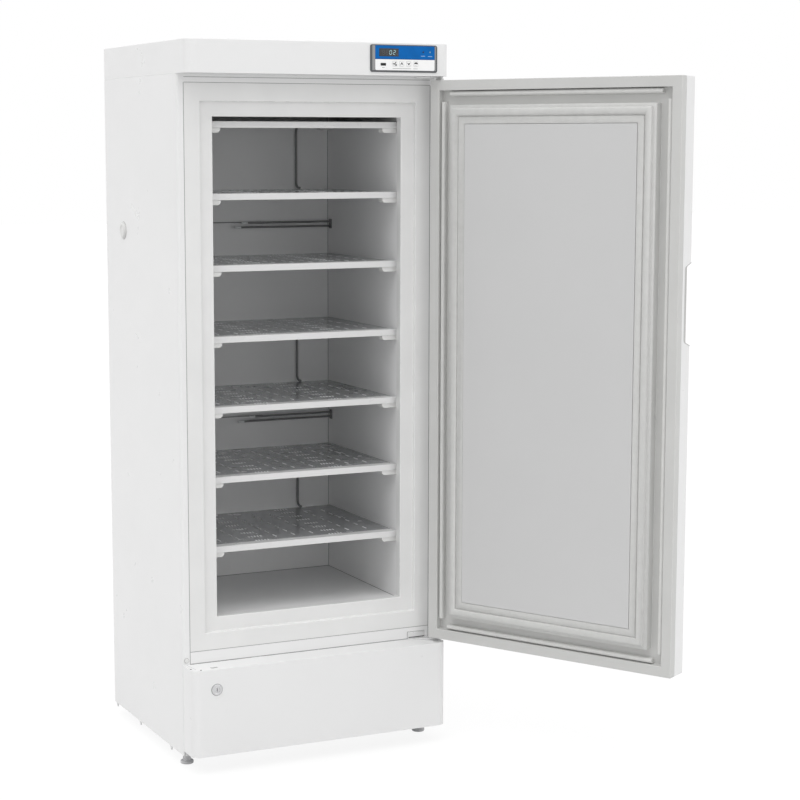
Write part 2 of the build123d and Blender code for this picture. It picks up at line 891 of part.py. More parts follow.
# Foam that fills the door between its skin and its liner
with BuildPart() as door_foam:
    with BuildSketch(front_plane(front_y + sheet, z=door_z)):
        Rectangle(*grown(door_size, -sheet))
    extrude(amount=front_y + sheet - door_seam_y)
    with BuildSketch(front_plane(door_seam_y, z=door_z)):
        Rectangle(*grown(door_size, -plastic_wall))
    extrude(amount=door_seam_y - door_inner_y + plastic_wall)
    with BuildSketch(front_plane(channel_floor_y - plastic_wall, z=door_z)):
        Rectangle(*grown(channel_outer, plastic_wall))
        Rectangle(*grown(channel_inner, -plastic_wall), mode=Mode.SUBTRACT)
    extrude(amount=-channel_depth, mode=Mode.SUBTRACT)
    with BuildSketch(front_plane(door_inner_y - plastic_wall, z=door_z)):
        Rectangle(*grown(channel_inner, -plastic_wall))
    extrude(amount=door_inner_y - dike_y)
    extrude(handle_outline(handle_back_y, 0), amount=handle_wall, mode=Mode.SUBTRACT)
    extrude(handle_outline(handle_cup_y, 0), amount=handle_width, mode=Mode.SUBTRACT)
    bolt_keeper(keeper_depth)
    bush_holes()
save_on_door(door_foam.part, "door_foam")

# Hinge bushes in the door: square, so that they can't turn in it, each with a collar that fills
# the air up to its hinge plate
bush_ends = (
    (door_top, bush_depth, top_plate_z - hinge_air - door_top),
    (door_bottom, -bush_depth, bottom_plate_top + hinge_air - door_bottom),
)

with BuildPart() as hinge_bushes:
    for end, depth, collar in bush_ends:
        with BuildSketch(Plane.XY.offset(end)):
            with Locations((hinge_x, hinge_y)):
                Rectangle(bush_width, bush_width)
        extrude(amount=-depth)
        with BuildSketch(Plane.XY.offset(end)):
            with Locations((hinge_x, hinge_y)):
                Rectangle(bush_collar_width, bush_collar_width)
        extrude(amount=collar)
    with BuildSketch(Plane.XY.offset(base_panel_top)):
        with Locations((hinge_x, hinge_y)):
            Circle(pin_diameter / 2 + pin_clearance)
    extrude(amount=cap_bottom - base_panel_top, mode=Mode.SUBTRACT)
save_on_door(hinge_bushes.part, "hinge_bushes")

# Door gasket: one mitred ring with a lip, a round bulge that meets the frame, a groove and a border
gasket_half = (channel_inner[0] / 2, channel_inner[1] / 2)
gasket_crest = frame_recess - gasket_ledge_clearance - dike_y
bulge_end = gasket_lip_width + gasket_bulge_width
border_start = bulge_end + gasket_groove_width
gasket_width = border_start + gasket_border_width
groove_height = gasket_border_thickness - gasket_groove_drop

with BuildPart() as door_gasket:
    with BuildLine(front_plane(dike_y, z=door_z)):
        Polyline(
            (0, -gasket_half[1]),
            (gasket_half[0], -gasket_half[1]),
            (gasket_half[0], gasket_half[1]),
            (-gasket_half[0], gasket_half[1]),
            (-gasket_half[0], -gasket_half[1]),
            close=True,
        )
    with BuildSketch(side_plane(0, y=dike_y, z=door_z - gasket_half[1])):
        with BuildLine():
            Polyline(
                (gasket_shoulder, gasket_lip_width),
                (gasket_lip_thickness, gasket_lip_width),
                (gasket_lip_thickness, 0),
                (0, 0),
                (0, gasket_width),
                (gasket_border_thickness, gasket_width),
                (gasket_border_thickness, border_start),
                (groove_height, border_start),
                (groove_height, bulge_end),
                (gasket_shoulder, bulge_end),
            )
            ThreePointArc(
                (gasket_shoulder, bulge_end),
                (gasket_crest, (gasket_lip_width + bulge_end) / 2),
                (gasket_shoulder, gasket_lip_width),
            )
        make_face()
    sweep(transition=Transition.RIGHT)
save_on_door(door_gasket.part, "door_gasket")

# Inner panel of the door: a shallow pan inside the gasket's border
panel_size = grown(channel_inner, -gasket_width - panel_gap)

with BuildPart() as door_inner_panel:
    with BuildSketch(front_plane(dike_y, z=door_z)):
        Rectangle(*panel_size)
    extrude(amount=-panel_height)
    with BuildSketch(front_plane(dike_y, z=door_z)):
        Rectangle(*grown(panel_size, -liner_wall))
    extrude(amount=liner_wall - panel_height, mode=Mode.SUBTRACT)
save_on_door(door_inner_panel.part, "door_inner_panel")

# Seal strips: four half-round strips in the door's channel, beside its outer wall
strip_centre = strip_wall_gap + strip_width / 2
strip_half = (channel_outer[0] / 2 - strip_centre, channel_outer[1] / 2 - strip_centre)
strip_length = (channel_outer[0] - 2 * strip_corner_gap, channel_outer[1] - 2 * strip_corner_gap)
strip_shoulder = strip_height - strip_width / 2


def seal_strip(plane, length):
    """Half-round strip whose profile stands on the plane's origin, laid half to each side."""
    with BuildSketch(plane) as profile:
        with BuildLine():
            Polyline(
                (strip_shoulder, -strip_width / 2),
                (0, -strip_width / 2),
                (0, strip_width / 2),
                (strip_shoulder, strip_width / 2),
            )
            ThreePointArc(
                (strip_shoulder, strip_width / 2),
                (strip_height, 0),
                (strip_shoulder, -strip_width / 2),
            )
        make_face()
    extrude(profile.sketch, amount=length / 2, both=True)


with BuildPart() as seal_strips:
    for side in (-1, 1):
        seal_strip(side_plane(0, y=channel_floor_y, z=door_z + side * strip_half[1]), strip_length[0])
        seal_strip(
            Plane(origin=(side * strip_half[0], channel_floor_y, door_z), x_dir=(0, 1, 0), z_dir=(0, 0, 1)),
            strip_length[1],
        )
save_on_door(seal_strips.part, "seal_strips")

# Shelves: slotted cold plates with a folded edge and a pressed channel for the refrigerant beneath
shelf_half_width = chamber_half - shelf_side_gap
shelf_front = bar_front + shelf_front_inset
shelf_back = chamber_depth - shelf_back_gap
shelf_depth = shelf_back - shelf_front
shelf_y = (shelf_front + shelf_back) / 2
first_bar_bottom = chamber_bottom + first_bar_rise
last_bar_bottom = chamber_top - last_bar_drop - bar_height
shelf_pitch = (last_bar_bottom - first_bar_bottom) / (shelf_count - 1)
bar_bottoms = [first_bar_bottom + index * shelf_pitch for index in range(shelf_count)]
plate_drop = bar_height - bar_wall
plate_tops = [bottom + plate_drop for bottom in bar_bottoms]
slot_pitch_x = (shelf_half_width - slot_side_margin) / max(slot_columns)
slot_pitch_y = (shelf_depth - 2 * slot_end_margin) / slot_rows
row_places = [shelf_y + (row - (slot_rows - 1) / 2) * slot_pitch_y for row in range(slot_rows)]
slot_places = [(column * slot_pitch_x, row_y) for column in slot_columns for row_y in row_places]
roll_places = [shelf_y + (run - slot_rows / 2) * slot_pitch_y for run in range(slot_rows + 1)]
roll_length = 2 * (shelf_half_width - roll_side_margin)
roll_turn_x = (roll_length - roll_width) / 2

for index, plate_top in enumerate(plate_tops):
    with BuildPart() as shelf:
        with BuildSketch(Plane.XY.offset(plate_top)):
            with Locations((0, shelf_y)):
                Rectangle(2 * shelf_half_width, shelf_depth)
        extrude(amount=-shelf_rim)
        with BuildSketch(Plane.XY.offset(plate_top - shelf_thickness)):
            with Locations((0, shelf_y)):
                Rectangle(2 * (shelf_half_width - shelf_thickness), shelf_depth - 2 * shelf_thickness)
        extrude(amount=shelf_thickness - shelf_rim, mode=Mode.SUBTRACT)
        with BuildSketch(Plane.XY.offset(plate_top - shelf_thickness)):
            with Locations(*[(0, roll_y) for roll_y in roll_places]):
                Rectangle(roll_length, roll_width)
            for turn, row_y in enumerate(row_places):
                with Locations((roll_turn_x if turn % 2 else -roll_turn_x, row_y)):
                    Rectangle(roll_width, slot_pitch_y)
        extrude(amount=-roll_height)
        with BuildSketch(Plane.XY.offset(plate_top)):
            with Locations(*slot_places):
                Rectangle(slot_width, slot_length)
        extrude(amount=-shelf_thickness, mode=Mode.SUBTRACT)
    save(shelf.part, f"shelf_{shelf_count - index}")

# Front bars: folded channels that cover the shelves' front edges
bar_half_width = chamber_half - bar_side_gap
bar_y = bar_front + bar_depth / 2

with BuildPart() as shelf_bars:
    with BuildSketch(side_plane(-bar_half_width)):
        with Locations(*[(bar_y, bottom + bar_height / 2) for bottom in bar_bottoms]):
            Rectangle(bar_depth, bar_height)
        with Locations(*[(bar_y + bar_wall, bottom + bar_height / 2) for bottom in bar_bottoms]):
            Rectangle(bar_depth, bar_height - 2 * bar_wall, mode=Mode.SUBTRACT)
    extrude(amount=2 * bar_half_width)
save(shelf_bars.part, "shelf_bars")

# Supports: bevelled blocks on the side walls, two under each bar and two under each shelf's back
support_near = chamber_half - support_length
front_support_y = bar_front + support_setback
back_support_y = shelf_back - support_setback - support_depth

with BuildPart() as shelf_supports:
    for bottom in bar_bottoms:
        rim_bottom = bottom + plate_drop - shelf_rim
        for top, near_y in ((bottom, front_support_y), (rim_bottom, back_support_y)):
            for side in (-1, 1):
                with BuildSketch(front_plane(near_y)):
                    with BuildLine():
                        Polyline(
                            (side * chamber_half, top),
                            (side * support_near, top),
                            (side * support_near, top - support_height + support_bevel),
                            (side * (support_near + support_bevel), top - support_height),
                            (side * chamber_half, top - support_height),
                            close=True,
                        )
                    make_face()
                extrude(amount=-support_depth)
save(shelf_supports.part, "shelf_supports")

# Riser tubes on the back wall, each turned over one cold plate and under the next
riser_y = chamber_depth - wall_touch - riser_diameter / 2
riser_end = riser_y - shelf_back_gap - riser_overlap
riser_x = chamber_half - riser_side_gap
riser_gaps = (0, shelf_count // 3, shelf_count - 2)


def bent_tube(plane, points, bend, diameter):
    """Tube on a plane along straight legs, each corner turned in two equal mitres."""
    with BuildLine(plane) as route:
        path = Polyline(*points)
        chamfer(path.vertices()[1:-1], bend, bend)
    with BuildSketch(Plane(origin=route.line @ 0, z_dir=route.line % 0)) as section:
        RegularPolygon(diameter / 2, tube_flat_count)
    sweep(section.sketch, path=route.line, transition=Transition.RIGHT)


with BuildPart() as riser_tubes:
    for gap in riser_gaps:
        low = plate_tops[gap] + wall_touch + riser_diameter / 2
        high = plate_tops[gap + 1] - shelf_rim - wall_touch - riser_diameter / 2
        corners = [(riser_end, low), (riser_y, low), (riser_y, high), (riser_end, high)]
        bent_tube(side_plane(riser_x), corners, riser_bend, riser_diameter)
save(riser_tubes.part, "riser_tubes")

# Temperature probes in pairs, held by a small bracket on the right wall
probe_y = chamber_depth - probe_back_gap
probe_heights = (plate_tops[1] + probe_rise, plate_tops[shelf_count - 3] + probe_rise)

with BuildPart() as sensor_probes:
    for height in probe_heights:
        with BuildSketch(side_plane(chamber_half, z=height)):
            with Locations((probe_y, 0)):
                Rectangle(probe_bracket_depth, probe_bracket_height)
        extrude(amount=-probe_bracket_thickness)
        for side, length in zip((1, -1), probe_lengths):
            with BuildSketch(side_plane(chamber_half, z=height)):
                with Locations((probe_y, side * probe_spacing / 2)):
                    RegularPolygon(probe_diameter / 2, tube_flat_count)
            extrude(amount=-length)
save(sensor_probes.part, "sensor_probes")

# Access port: a flanged sleeve through the left wall and the plug that closes it
port_outside = -half_width - port_flange_thickness

with BuildPart() as port_sleeve:
    with BuildSketch(side_plane(port_outside)):
        with Locations(port_place):
            RegularPolygon(port_flange_diameter / 2, rim_flat_count)
    extrude(amount=port_flange_thickness)
    with BuildSketch(side_plane(-half_width)):
        with Locations(port_place):
            RegularPolygon(port_sleeve_radius, rim_flat_count)
    extrude(amount=half_width - chamber_half)
    with BuildSketch(side_plane(port_outside)):
        with Locations(port_place):
            Circle(port_bore / 2)
    extrude(amount=half_width + port_flange_thickness - chamber_half, mode=Mode.SUBTRACT)
save(port_sleeve.part, "port_sleeve")

with BuildPart() as port_plug:
    with BuildSketch(side_plane(port_outside)):
        with Locations(port_place):
            RegularPolygon(port_head_diameter / 2, rim_flat_count)
    extrude(amount=-port_head_height)
    chamfer(port_plug.faces().sort_by(Axis.X)[0].edges(), port_head_edge)
    with BuildSketch(side_plane(port_outside)):
        with Locations(port_place):
            RegularPolygon(port_bore / 2 - port_plug_clearance, rim_flat_count)
    extrude(amount=port_plug_length)
save(port_plug.part, "port_plug")

# Base tray: a folded sheet between the side panels, with a weld nut over each front foot
foot_x = half_width - foot_side_margin
tray_top = side_clearance + tray_thickness
tray_depth = back_y - sheet - foam_front
tray_y = (back_y - sheet + foam_front) / 2

with BuildPart() as base_tray:
    with BuildSketch(Plane.XY.offset(side_clearance)):
        with Locations((0, tray_y)):
            Rectangle(2 * foam_half, tray_depth)
    extrude(amount=tray_thickness)
    for fold_y in (tray_y - (tray_depth - tray_thickness) / 2, tray_y + (tray_depth - tray_thickness) / 2):
        with BuildSketch(Plane.XY.offset(side_clearance)):
            with Locations((0, fold_y)):
                Rectangle(2 * foam_half, tray_thickness)
        extrude(amount=tray_upturn)
    with BuildSketch(Plane.XY.offset(foot_collar_top + foot_collar_gap)):
        with Locations((-foot_x, foot_y), (foot_x, foot_y)):
            RegularPolygon(foot_collar_width / 2, 6, major_radius=False)
    extrude(amount=side_clearance - foot_collar_top - foot_collar_gap)
    with BuildSketch(Plane.XY.offset(foot_collar_top + foot_collar_gap)):
        with Locations((-foot_x, foot_y), (foot_x, foot_y)):
            Circle(foot_stem_diameter / 2 + foot_stem_clearance)
    extrude(amount=tray_top - foot_collar_top - foot_collar_gap, mode=Mode.SUBTRACT)
save(base_tray.part, "base_tray")

# Front feet: a round pad with a hexagonal collar and a stem that turns in the tray's nut
for foot_side, foot_name in ((-1, "left_foot"), (1, "right_foot")):
    foot_place = (foot_side * foot_x, foot_y)
    with BuildPart() as foot:
        with BuildSketch(Plane.XY):
            with Locations(foot_place):
                RegularPolygon(foot_diameter / 2, rim_flat_count)
        extrude(amount=foot_pad)
        with BuildSketch(Plane.XY.offset(foot_pad)):
            with Locations(foot_place):
                RegularPolygon(foot_collar_width / 2, 6, major_radius=False)
        extrude(amount=foot_collar_top - foot_pad)
        with BuildSketch(Plane.XY.offset(foot_collar_top)):
            with Locations(foot_place):
                RegularPolygon(foot_stem_diameter / 2, rim_flat_count)
        extrude(amount=tray_top + foot_stem_above - foot_collar_top)
    save(foot.part, foot_name)

# Rear rollers with their bracket pairs and axles
roller_x = half_width - roller_side_margin
roller_y = back_y - roller_back_gap
axle_z = roller_diameter / 2
fork_gap = roller_width / 2 + roller_side_clearance
fork_outer = fork_gap + bracket_thickness

for roller_side, roller_name in ((-1, "left_roller"), (1, "right_roller")):
    with BuildPart() as roller:
        with BuildSketch(side_plane(roller_side * roller_x - roller_width / 2)):
            with Locations((roller_y, axle_z)):
                RegularPolygon(roller_diameter / 2, rim_flat_count)
                RegularPolygon(axle_diameter / 2 + axle_clearance, rim_flat_count, mode=Mode.SUBTRACT)
        extrude(amount=roller_width)
    save(roller.part, roller_name)

with BuildPart() as roller_brackets:
    for roller_side in (-1, 1):
        centre = roller_side * roller_x
        for near in (centre - fork_outer, centre + fork_gap):
            with BuildSketch(side_plane(near, roller_y)):
                with Locations((0, axle_z)):
                    Rectangle(bracket_tip, bracket_tip)
                with Locations((0, side_clearance - bracket_thickness / 2)):
                    Rectangle(roller_diameter, bracket_thickness)
                make_hull()
            extrude(amount=bracket_thickness)
        with BuildSketch(side_plane(centre - fork_outer, roller_y)):
            with Locations((0, side_clearance - bracket_thickness / 2)):
                Rectangle(roller_diameter, bracket_thickness)
            with Locations((0, axle_z)):
                RegularPolygon(axle_diameter / 2, tube_flat_count)
        extrude(amount=2 * fork_outer)
save(roller_brackets.part, "roller_brackets")

# Compressor: a round can with sloped shoulders, on a plate with four rubber mounts
compressor_y = back_y - compressor_back_gap
shell_bottom = tray_top + mount_height + mount_plate
shell_top = base_panel_top - compressor_headroom
mount_side = 2 * mount_spread + mount_width

with BuildPart() as compressor:
    with BuildSketch(Plane.XY.offset(shell_bottom)):
        with Locations((compressor_x, compressor_y)):
            RegularPolygon(compressor_size / 2, rim_flat_count, False, 180 / rim_flat_count)
    extrude(amount=shell_top - shell_bottom)
    chamfer(compressor.faces().sort_by(Axis.Z)[-1].edges(), compressor_dome)
    with BuildSketch(Plane.XY.offset(tray_top + mount_height)):
        with Locations((compressor_x, compressor_y)):
            Rectangle(mount_side, mount_side)
    extrude(amount=mount_plate)
    with BuildSketch(Plane.XY.offset(tray_top)):
        with Locations((compressor_x, compressor_y)):
            with GridLocations(2 * mount_spread, 2 * mount_spread, 2, 2):
                RegularPolygon(mount_width / 2, tube_flat_count, major_radius=False)
    extrude(amount=mount_height)
save(compressor.part, "compressor")

# Condenser: upright fins on a few level tubes
condenser_y = back_y - condenser_back_gap
condenser_top = base_panel_top - condenser_headroom
condenser_z = (tray_top + condenser_top) / 2
condenser_height = condenser_top - tray_top
fin_pitch = (condenser_width - fin_thickness) / (condenser_fins - 1)
tube_pitch = condenser_height / condenser_tubes
tube_heights = [tray_top + (row + 1 / 2) * tube_pitch for row in range(condenser_tubes)]
tube_left = condenser_x - condenser_width / 2 - condenser_tube_overhang

with BuildPart() as condenser:
    with BuildSketch(Plane.XY.offset(tray_top)):
        with Locations((condenser_x, condenser_y)):
            with GridLocations(fin_pitch, 0, condenser_fins, 1):
                Rectangle(fin_thickness, condenser_depth)
    extrude(amount=condenser_height)
    with BuildSketch(side_plane(tube_left)):
        with Locations(*[(condenser_y, height) for height in tube_heights]):
            RegularPolygon(condenser_tube_diameter / 2, tube_flat_count)
    extrude(amount=condenser_width + 2 * condenser_tube_overhang)
save(condenser.part, "condenser")

# Fan: a square frame behind the condenser that carries the motor on four arms, and the rotor
shroud_y = condenser_y + condenser_depth / 2
motor_y = shroud_y + shroud_depth
fan_opening = fan_diameter / 2 + fan_tip_clearance
fan_frame = 2 * (fan_opening + shroud_wall)
fan_y = motor_y - fan_end_clearance - fan_depth
fan_place = (condenser_x, condenser_z)

with BuildPart() as fan_motor:
    with BuildSketch(front_plane(shroud_y)):
        with Locations(fan_place):
            Rectangle(fan_frame, fan_frame)
            RegularPolygon(fan_opening, rim_flat_count, mode=Mode.SUBTRACT)
    extrude(amount=-shroud_depth - motor_arm_depth)
    with BuildSketch(front_plane(shroud_y)):
        with Locations(fan_place):
            Rectangle(condenser_width, condenser_height)
            Rectangle(fan_frame, fan_frame, mode=Mode.SUBTRACT)
    extrude(amount=-shroud_wall)
    with BuildSketch(front_plane(motor_y)):
        with Locations(fan_place):
            Rectangle(fan_frame, motor_arm_width)
            Rectangle(motor_arm_width, fan_frame)
    extrude(amount=-motor_arm_depth)
    with BuildSketch(front_plane(motor_y)):
        with Locations(fan_place):
            chamfer(Rectangle(motor_width, motor_width).vertices(), motor_corner)
    extrude(amount=-motor_length)
    with BuildSketch(front_plane(motor_y)):
        with Locations(fan_place):
            RegularPolygon(fan_shaft_diameter / 2, tube_flat_count)
    extrude(amount=fan_end_clearance + fan_depth)
save(fan_motor.part, "fan_motor")

blade_reach = ((fan_diameter**2 - fan_blade_chord**2) ** 0.5) / 2

with BuildPart(front_plane(fan_y + fan_depth / 2, condenser_x, condenser_z)) as fan_blade:
    with PolarLocations(blade_reach / 2, fan_blades):
        Box(blade_reach, fan_blade_chord, fan_blade_thickness, rotation=(fan_blade_pitch, 0, 0))
    with BuildSketch(front_plane(fan_y, condenser_x, condenser_z)):
        RegularPolygon(fan_hub_diameter / 2, rim_flat_count)
    extrude(amount=-fan_depth)
    with BuildSketch(front_plane(fan_y, condenser_x, condenser_z)):
        RegularPolygon(fan_shaft_diameter / 2 + fan_shaft_clearance, rim_flat_count)
    extrude(amount=-fan_depth, mode=Mode.SUBTRACT)
save(fan_blade.part, "fan_blade")

# Refrigerant pipes: discharge to the condenser, liquid line with its drier, and suction line
pipe_x = tube_left - pipe_offset
liquid_y = condenser_y - condenser_depth
suction_y = compressor_y - compressor_size / 2 - 2 * pipe_offset
suction_z = tube_heights[-1]
shell_side = compressor_x + compressor_size / 2
drier_bottom = tube_heights[0] + 2 * pipe_offset

with BuildPart() as refrigerant_pipes:
    discharge = [
        (shell_side, compressor_y),
        (pipe_x, compressor_y),
        (pipe_x, condenser_y),
        (tube_left, condenser_y),
    ]
    bent_tube(Plane.XY.offset(tube_heights[-1]), discharge, pipe_bend, pipe_diameter)
    liquid = [(liquid_y, base_panel_top), (liquid_y, tube_heights[0]), (condenser_y, tube_heights[0])]
    bent_tube(side_plane(pipe_x), liquid, pipe_bend, pipe_diameter)
    with BuildSketch(side_plane(pipe_x)):
        with Locations((condenser_y, tube_heights[0])):
            RegularPolygon(pipe_diameter / 2, tube_flat_count)
    extrude(amount=pipe_offset)
    with BuildSketch(Plane.XY.offset(drier_bottom)):
        with Locations((pipe_x, liquid_y)):
            RegularPolygon(drier_diameter / 2, drier_flat_count)
    extrude(amount=drier_length)
    suction = [
        (suction_y, base_panel_top),
        (suction_y, suction_z),
        (compressor_y - compressor_size / 2, suction_z),
    ]
    bent_tube(side_plane(compressor_x), suction, pipe_bend, pipe_diameter)
save(refrigerant_pipes.part, "refrigerant_pipes")

# Rear grille: a slotted sheet that closes the machine compartment, with a cut-out for the inlet
grille_z = (tray_top + base_panel_top) / 2
inlet_x = inlet_side_margin - half_width

with BuildPart() as rear_grille:
    with BuildSketch(front_plane(back_y - sheet)):
        with Locations((0, (side_clearance + base_panel_top) / 2)):
            Rectangle(2 * foam_half, base_panel_top - side_clearance)
        with Locations((0, grille_z)):
            with GridLocations(grille_column_pitch, grille_slot_pitch, grille_columns, grille_slots):
                Rectangle(grille_slot_width, grille_slot_height, mode=Mode.SUBTRACT)
        with Locations((inlet_x, inlet_z)):
            Rectangle(inlet_width, inlet_height, mode=Mode.SUBTRACT)
    extrude(amount=-sheet)
save(rear_grille.part, "rear_grille")

# Power inlet: a socket with three contact blades, set flush in the grille
with BuildPart() as power_inlet:
    with BuildSketch(front_plane(back_y - inlet_depth)):
        with Locations((inlet_x, inlet_z)):
            Rectangle(inlet_width, inlet_height)
    extrude(amount=-inlet_depth)
    with BuildSketch(front_plane(back_y - inlet_depth + inlet_wall)):
        with Locations((inlet_x, inlet_z)):
            Rectangle(inlet_width - 2 * inlet_wall, inlet_height - 2 * inlet_wall)
    extrude(amount=inlet_wall - inlet_depth, mode=Mode.SUBTRACT)
    with BuildSketch(front_plane(back_y - inlet_depth + inlet_wall)):
        with Locations((inlet_x, inlet_z)):
            with GridLocations(inlet_blade_pitch, 0, 3, 1):
                Rectangle(inlet_blade_width, inlet_blade_length)
    extrude(amount=inlet_wall + inlet_blade_recess - inlet_depth)
save(power_inlet.part, "power_inlet")
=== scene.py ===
import json
import math

import bmesh
import bpy
from mathutils import Matrix, Vector


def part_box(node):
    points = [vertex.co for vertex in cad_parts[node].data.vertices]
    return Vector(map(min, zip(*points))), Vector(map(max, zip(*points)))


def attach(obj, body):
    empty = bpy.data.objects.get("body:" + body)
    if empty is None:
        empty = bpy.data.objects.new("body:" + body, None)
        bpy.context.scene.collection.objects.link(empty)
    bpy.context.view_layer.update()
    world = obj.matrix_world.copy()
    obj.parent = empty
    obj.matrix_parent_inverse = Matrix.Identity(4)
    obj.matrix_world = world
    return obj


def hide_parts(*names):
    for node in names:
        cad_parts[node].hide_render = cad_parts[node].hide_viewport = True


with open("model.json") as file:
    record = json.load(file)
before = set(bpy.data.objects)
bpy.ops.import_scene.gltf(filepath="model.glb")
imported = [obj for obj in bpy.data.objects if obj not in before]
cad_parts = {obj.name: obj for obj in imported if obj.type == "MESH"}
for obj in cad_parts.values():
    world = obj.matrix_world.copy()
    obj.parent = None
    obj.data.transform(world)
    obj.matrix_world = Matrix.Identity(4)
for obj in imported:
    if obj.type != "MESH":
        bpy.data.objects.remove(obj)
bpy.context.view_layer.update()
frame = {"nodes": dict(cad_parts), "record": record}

MM = 0.001

# Camera solved from the photograph's straight edges, in metres, radians and millimetres of lens
camera_place = (-1.84968, -4.22719, 1.44264)
camera_pitch = -0.135
camera_yaw = -0.441
camera_lens = 89.69
camera_shift = (0.0403, 0.0156)

# Light
sky_strength = 0.80
suns = (
    ("left_sun", 1.1, (math.radians(24), 0, math.radians(-58))),
    ("front_sun", 0.4, (math.radians(60), 0, math.radians(28))),
)
sun_angle = math.radians(50)
floor_white = 0.68
floor_glow = 1.1
floor_glow_share = 0.8

# Colours, linear
cabinet_white = (0.82, 0.82, 0.82)
frame_white = (0.78, 0.78, 0.775)
liner_grey = (0.92, 0.92, 0.92)
panel_grey = (0.60, 0.60, 0.60)
door_grey = (0.60, 0.60, 0.588)
gasket_grey = (0.60, 0.60, 0.588)
strip_grey = (0.68, 0.68, 0.665)
film_blue = (0.001, 0.125, 0.43)
film_white = (0.96, 0.96, 0.96)
film_split = 1.6294


# Materials

def new_surface(name, colour, roughness, metallic=0.0, **sockets):
    """A named Principled material with its plain values; returns the material, its tree and its shader."""
    material = bpy.data.materials.new(name)
    material.use_nodes = True
    tree = material.node_tree
    shader = tree.nodes["Principled BSDF"]
    shader.inputs["Base Color"].default_value = (*colour, 1)
    shader.inputs["Roughness"].default_value = roughness
    shader.inputs["Metallic"].default_value = metallic
    for socket, value in sockets.items():
        shader.inputs[socket.replace("_", " ")].default_value = value
    return material, tree, shader


def object_place(tree, stretch=(1, 1, 1)):
    """Object coordinates in metres, stretched along each axis."""
    where = tree.nodes.new("ShaderNodeTexCoord")
    mapping = tree.nodes.new("ShaderNodeMapping")
    mapping.inputs["Scale"].default_value = stretch
    tree.links.new(where.outputs["Object"], mapping.inputs["Vector"])
    return mapping.outputs["Vector"]


def noise(tree, place, size, detail=2.0, rough=0.5, distortion=0.0):
    """Noise with features about size metres across."""
    node = tree.nodes.new("ShaderNodeTexNoise")
    node.inputs["Scale"].default_value = 1 / size
    node.inputs["Detail"].default_value = detail
    node.inputs["Roughness"].default_value = rough
    node.inputs["Distortion"].default_value = distortion
    tree.links.new(place, node.inputs["Vector"])
    return node.outputs[0]


def spangle(tree, place, size):
    """Flat random value for each crystal of about size metres."""
    node = tree.nodes.new("ShaderNodeTexVoronoi")
    node.inputs["Scale"].default_value = 1 / size
    tree.links.new(place, node.inputs["Vector"])
    split = tree.nodes.new("ShaderNodeSeparateColor")
    tree.links.new(node.outputs["Color"], split.inputs[0])
    return split.outputs[0]


def between(tree, value, low, high, start=0.3, stop=0.7):
    """Carries a texture value from start to stop onto low to high."""
    node = tree.nodes.new("ShaderNodeMapRange")
    node.inputs["From Min"].default_value = start
    node.inputs["From Max"].default_value = stop
    node.inputs["To Min"].default_value = low
    node.inputs["To Max"].default_value = high
    tree.links.new(value, node.inputs["Value"])
    return node.outputs[0]


def mixed(tree, factor, first, second):
    """Colour between two colours or sockets."""
    node = tree.nodes.new("ShaderNodeMix")
    node.data_type = "RGBA"
    tree.links.new(factor, node.inputs[0])
    for socket, colour in ((node.inputs[6], first), (node.inputs[7], second)):
        if isinstance(colour, bpy.types.NodeSocket):
            tree.links.new(colour, socket)
        else:
            socket.default_value = (*colour, 1)
    return node.outputs[2]


def shaded(colour, share):
    """The colour made darker or lighter by a share."""
    return tuple(min(1.0, c * share) for c in colour)


def bumped(tree, shader, height, distance):
    """Gives the shader relief of distance metres."""
    node = tree.nodes.new("ShaderNodeBump")
    node.inputs["Distance"].default_value = distance
    tree.links.new(height, node.inputs["Height"])
    tree.links.new(node.outputs["Normal"], shader.inputs["Normal"])


def painted_steel(name, colour, roughness=0.32, peel=0.02 * MM):
    """Powder coat: faint mottling, orange peel, and wiped patches that shine a little more."""
    material, tree, shader = new_surface(name, colour, roughness, Coat_Weight=0.25, Coat_Roughness=0.12)
    place = object_place(tree)
    cloud = noise(tree, place, 0.35, detail=4)
    speck = noise(tree, place, 1.2 * MM, detail=1)
    tone = mixed(tree, between(tree, cloud, 0, 1), shaded(colour, 0.985), shaded(colour, 1.01))
    flecked = mixed(tree, between(tree, speck, 0, 1, 0.62, 0.8), tone, shaded(colour, 0.96))
    tree.links.new(flecked, shader.inputs["Base Color"])
    wiped = noise(tree, place, 0.09, detail=5, rough=0.6, distortion=0.6)
    tree.links.new(between(tree, wiped, roughness - 0.05, roughness + 0.08), shader.inputs["Roughness"])
    bumped(tree, shader, noise(tree, place, 3.0 * MM, detail=2), peel)
    return material


def moulded_plastic(name, colour, roughness=0.45, grain=0.5 * MM, relief=0.015 * MM, **sockets):
    """Moulded plastic: fine grain, slow drifts of tone and a few rubbed patches."""
    material, tree, shader = new_surface(name, colour, roughness, **sockets)
    place = object_place(tree)
    cloud = noise(tree, place, 0.12, detail=4)
    tone = mixed(tree, between(tree, cloud, 0, 1), shaded(colour, 0.97), shaded(colour, 1.02))
    tree.links.new(tone, shader.inputs["Base Color"])
    rubbed = noise(tree, place, 0.03, detail=5, rough=0.6)
    tree.links.new(between(tree, rubbed, roughness - 0.07, roughness + 0.07), shader.inputs["Roughness"])
    bumped(tree, shader, noise(tree, place, grain, detail=2), relief)
    return material


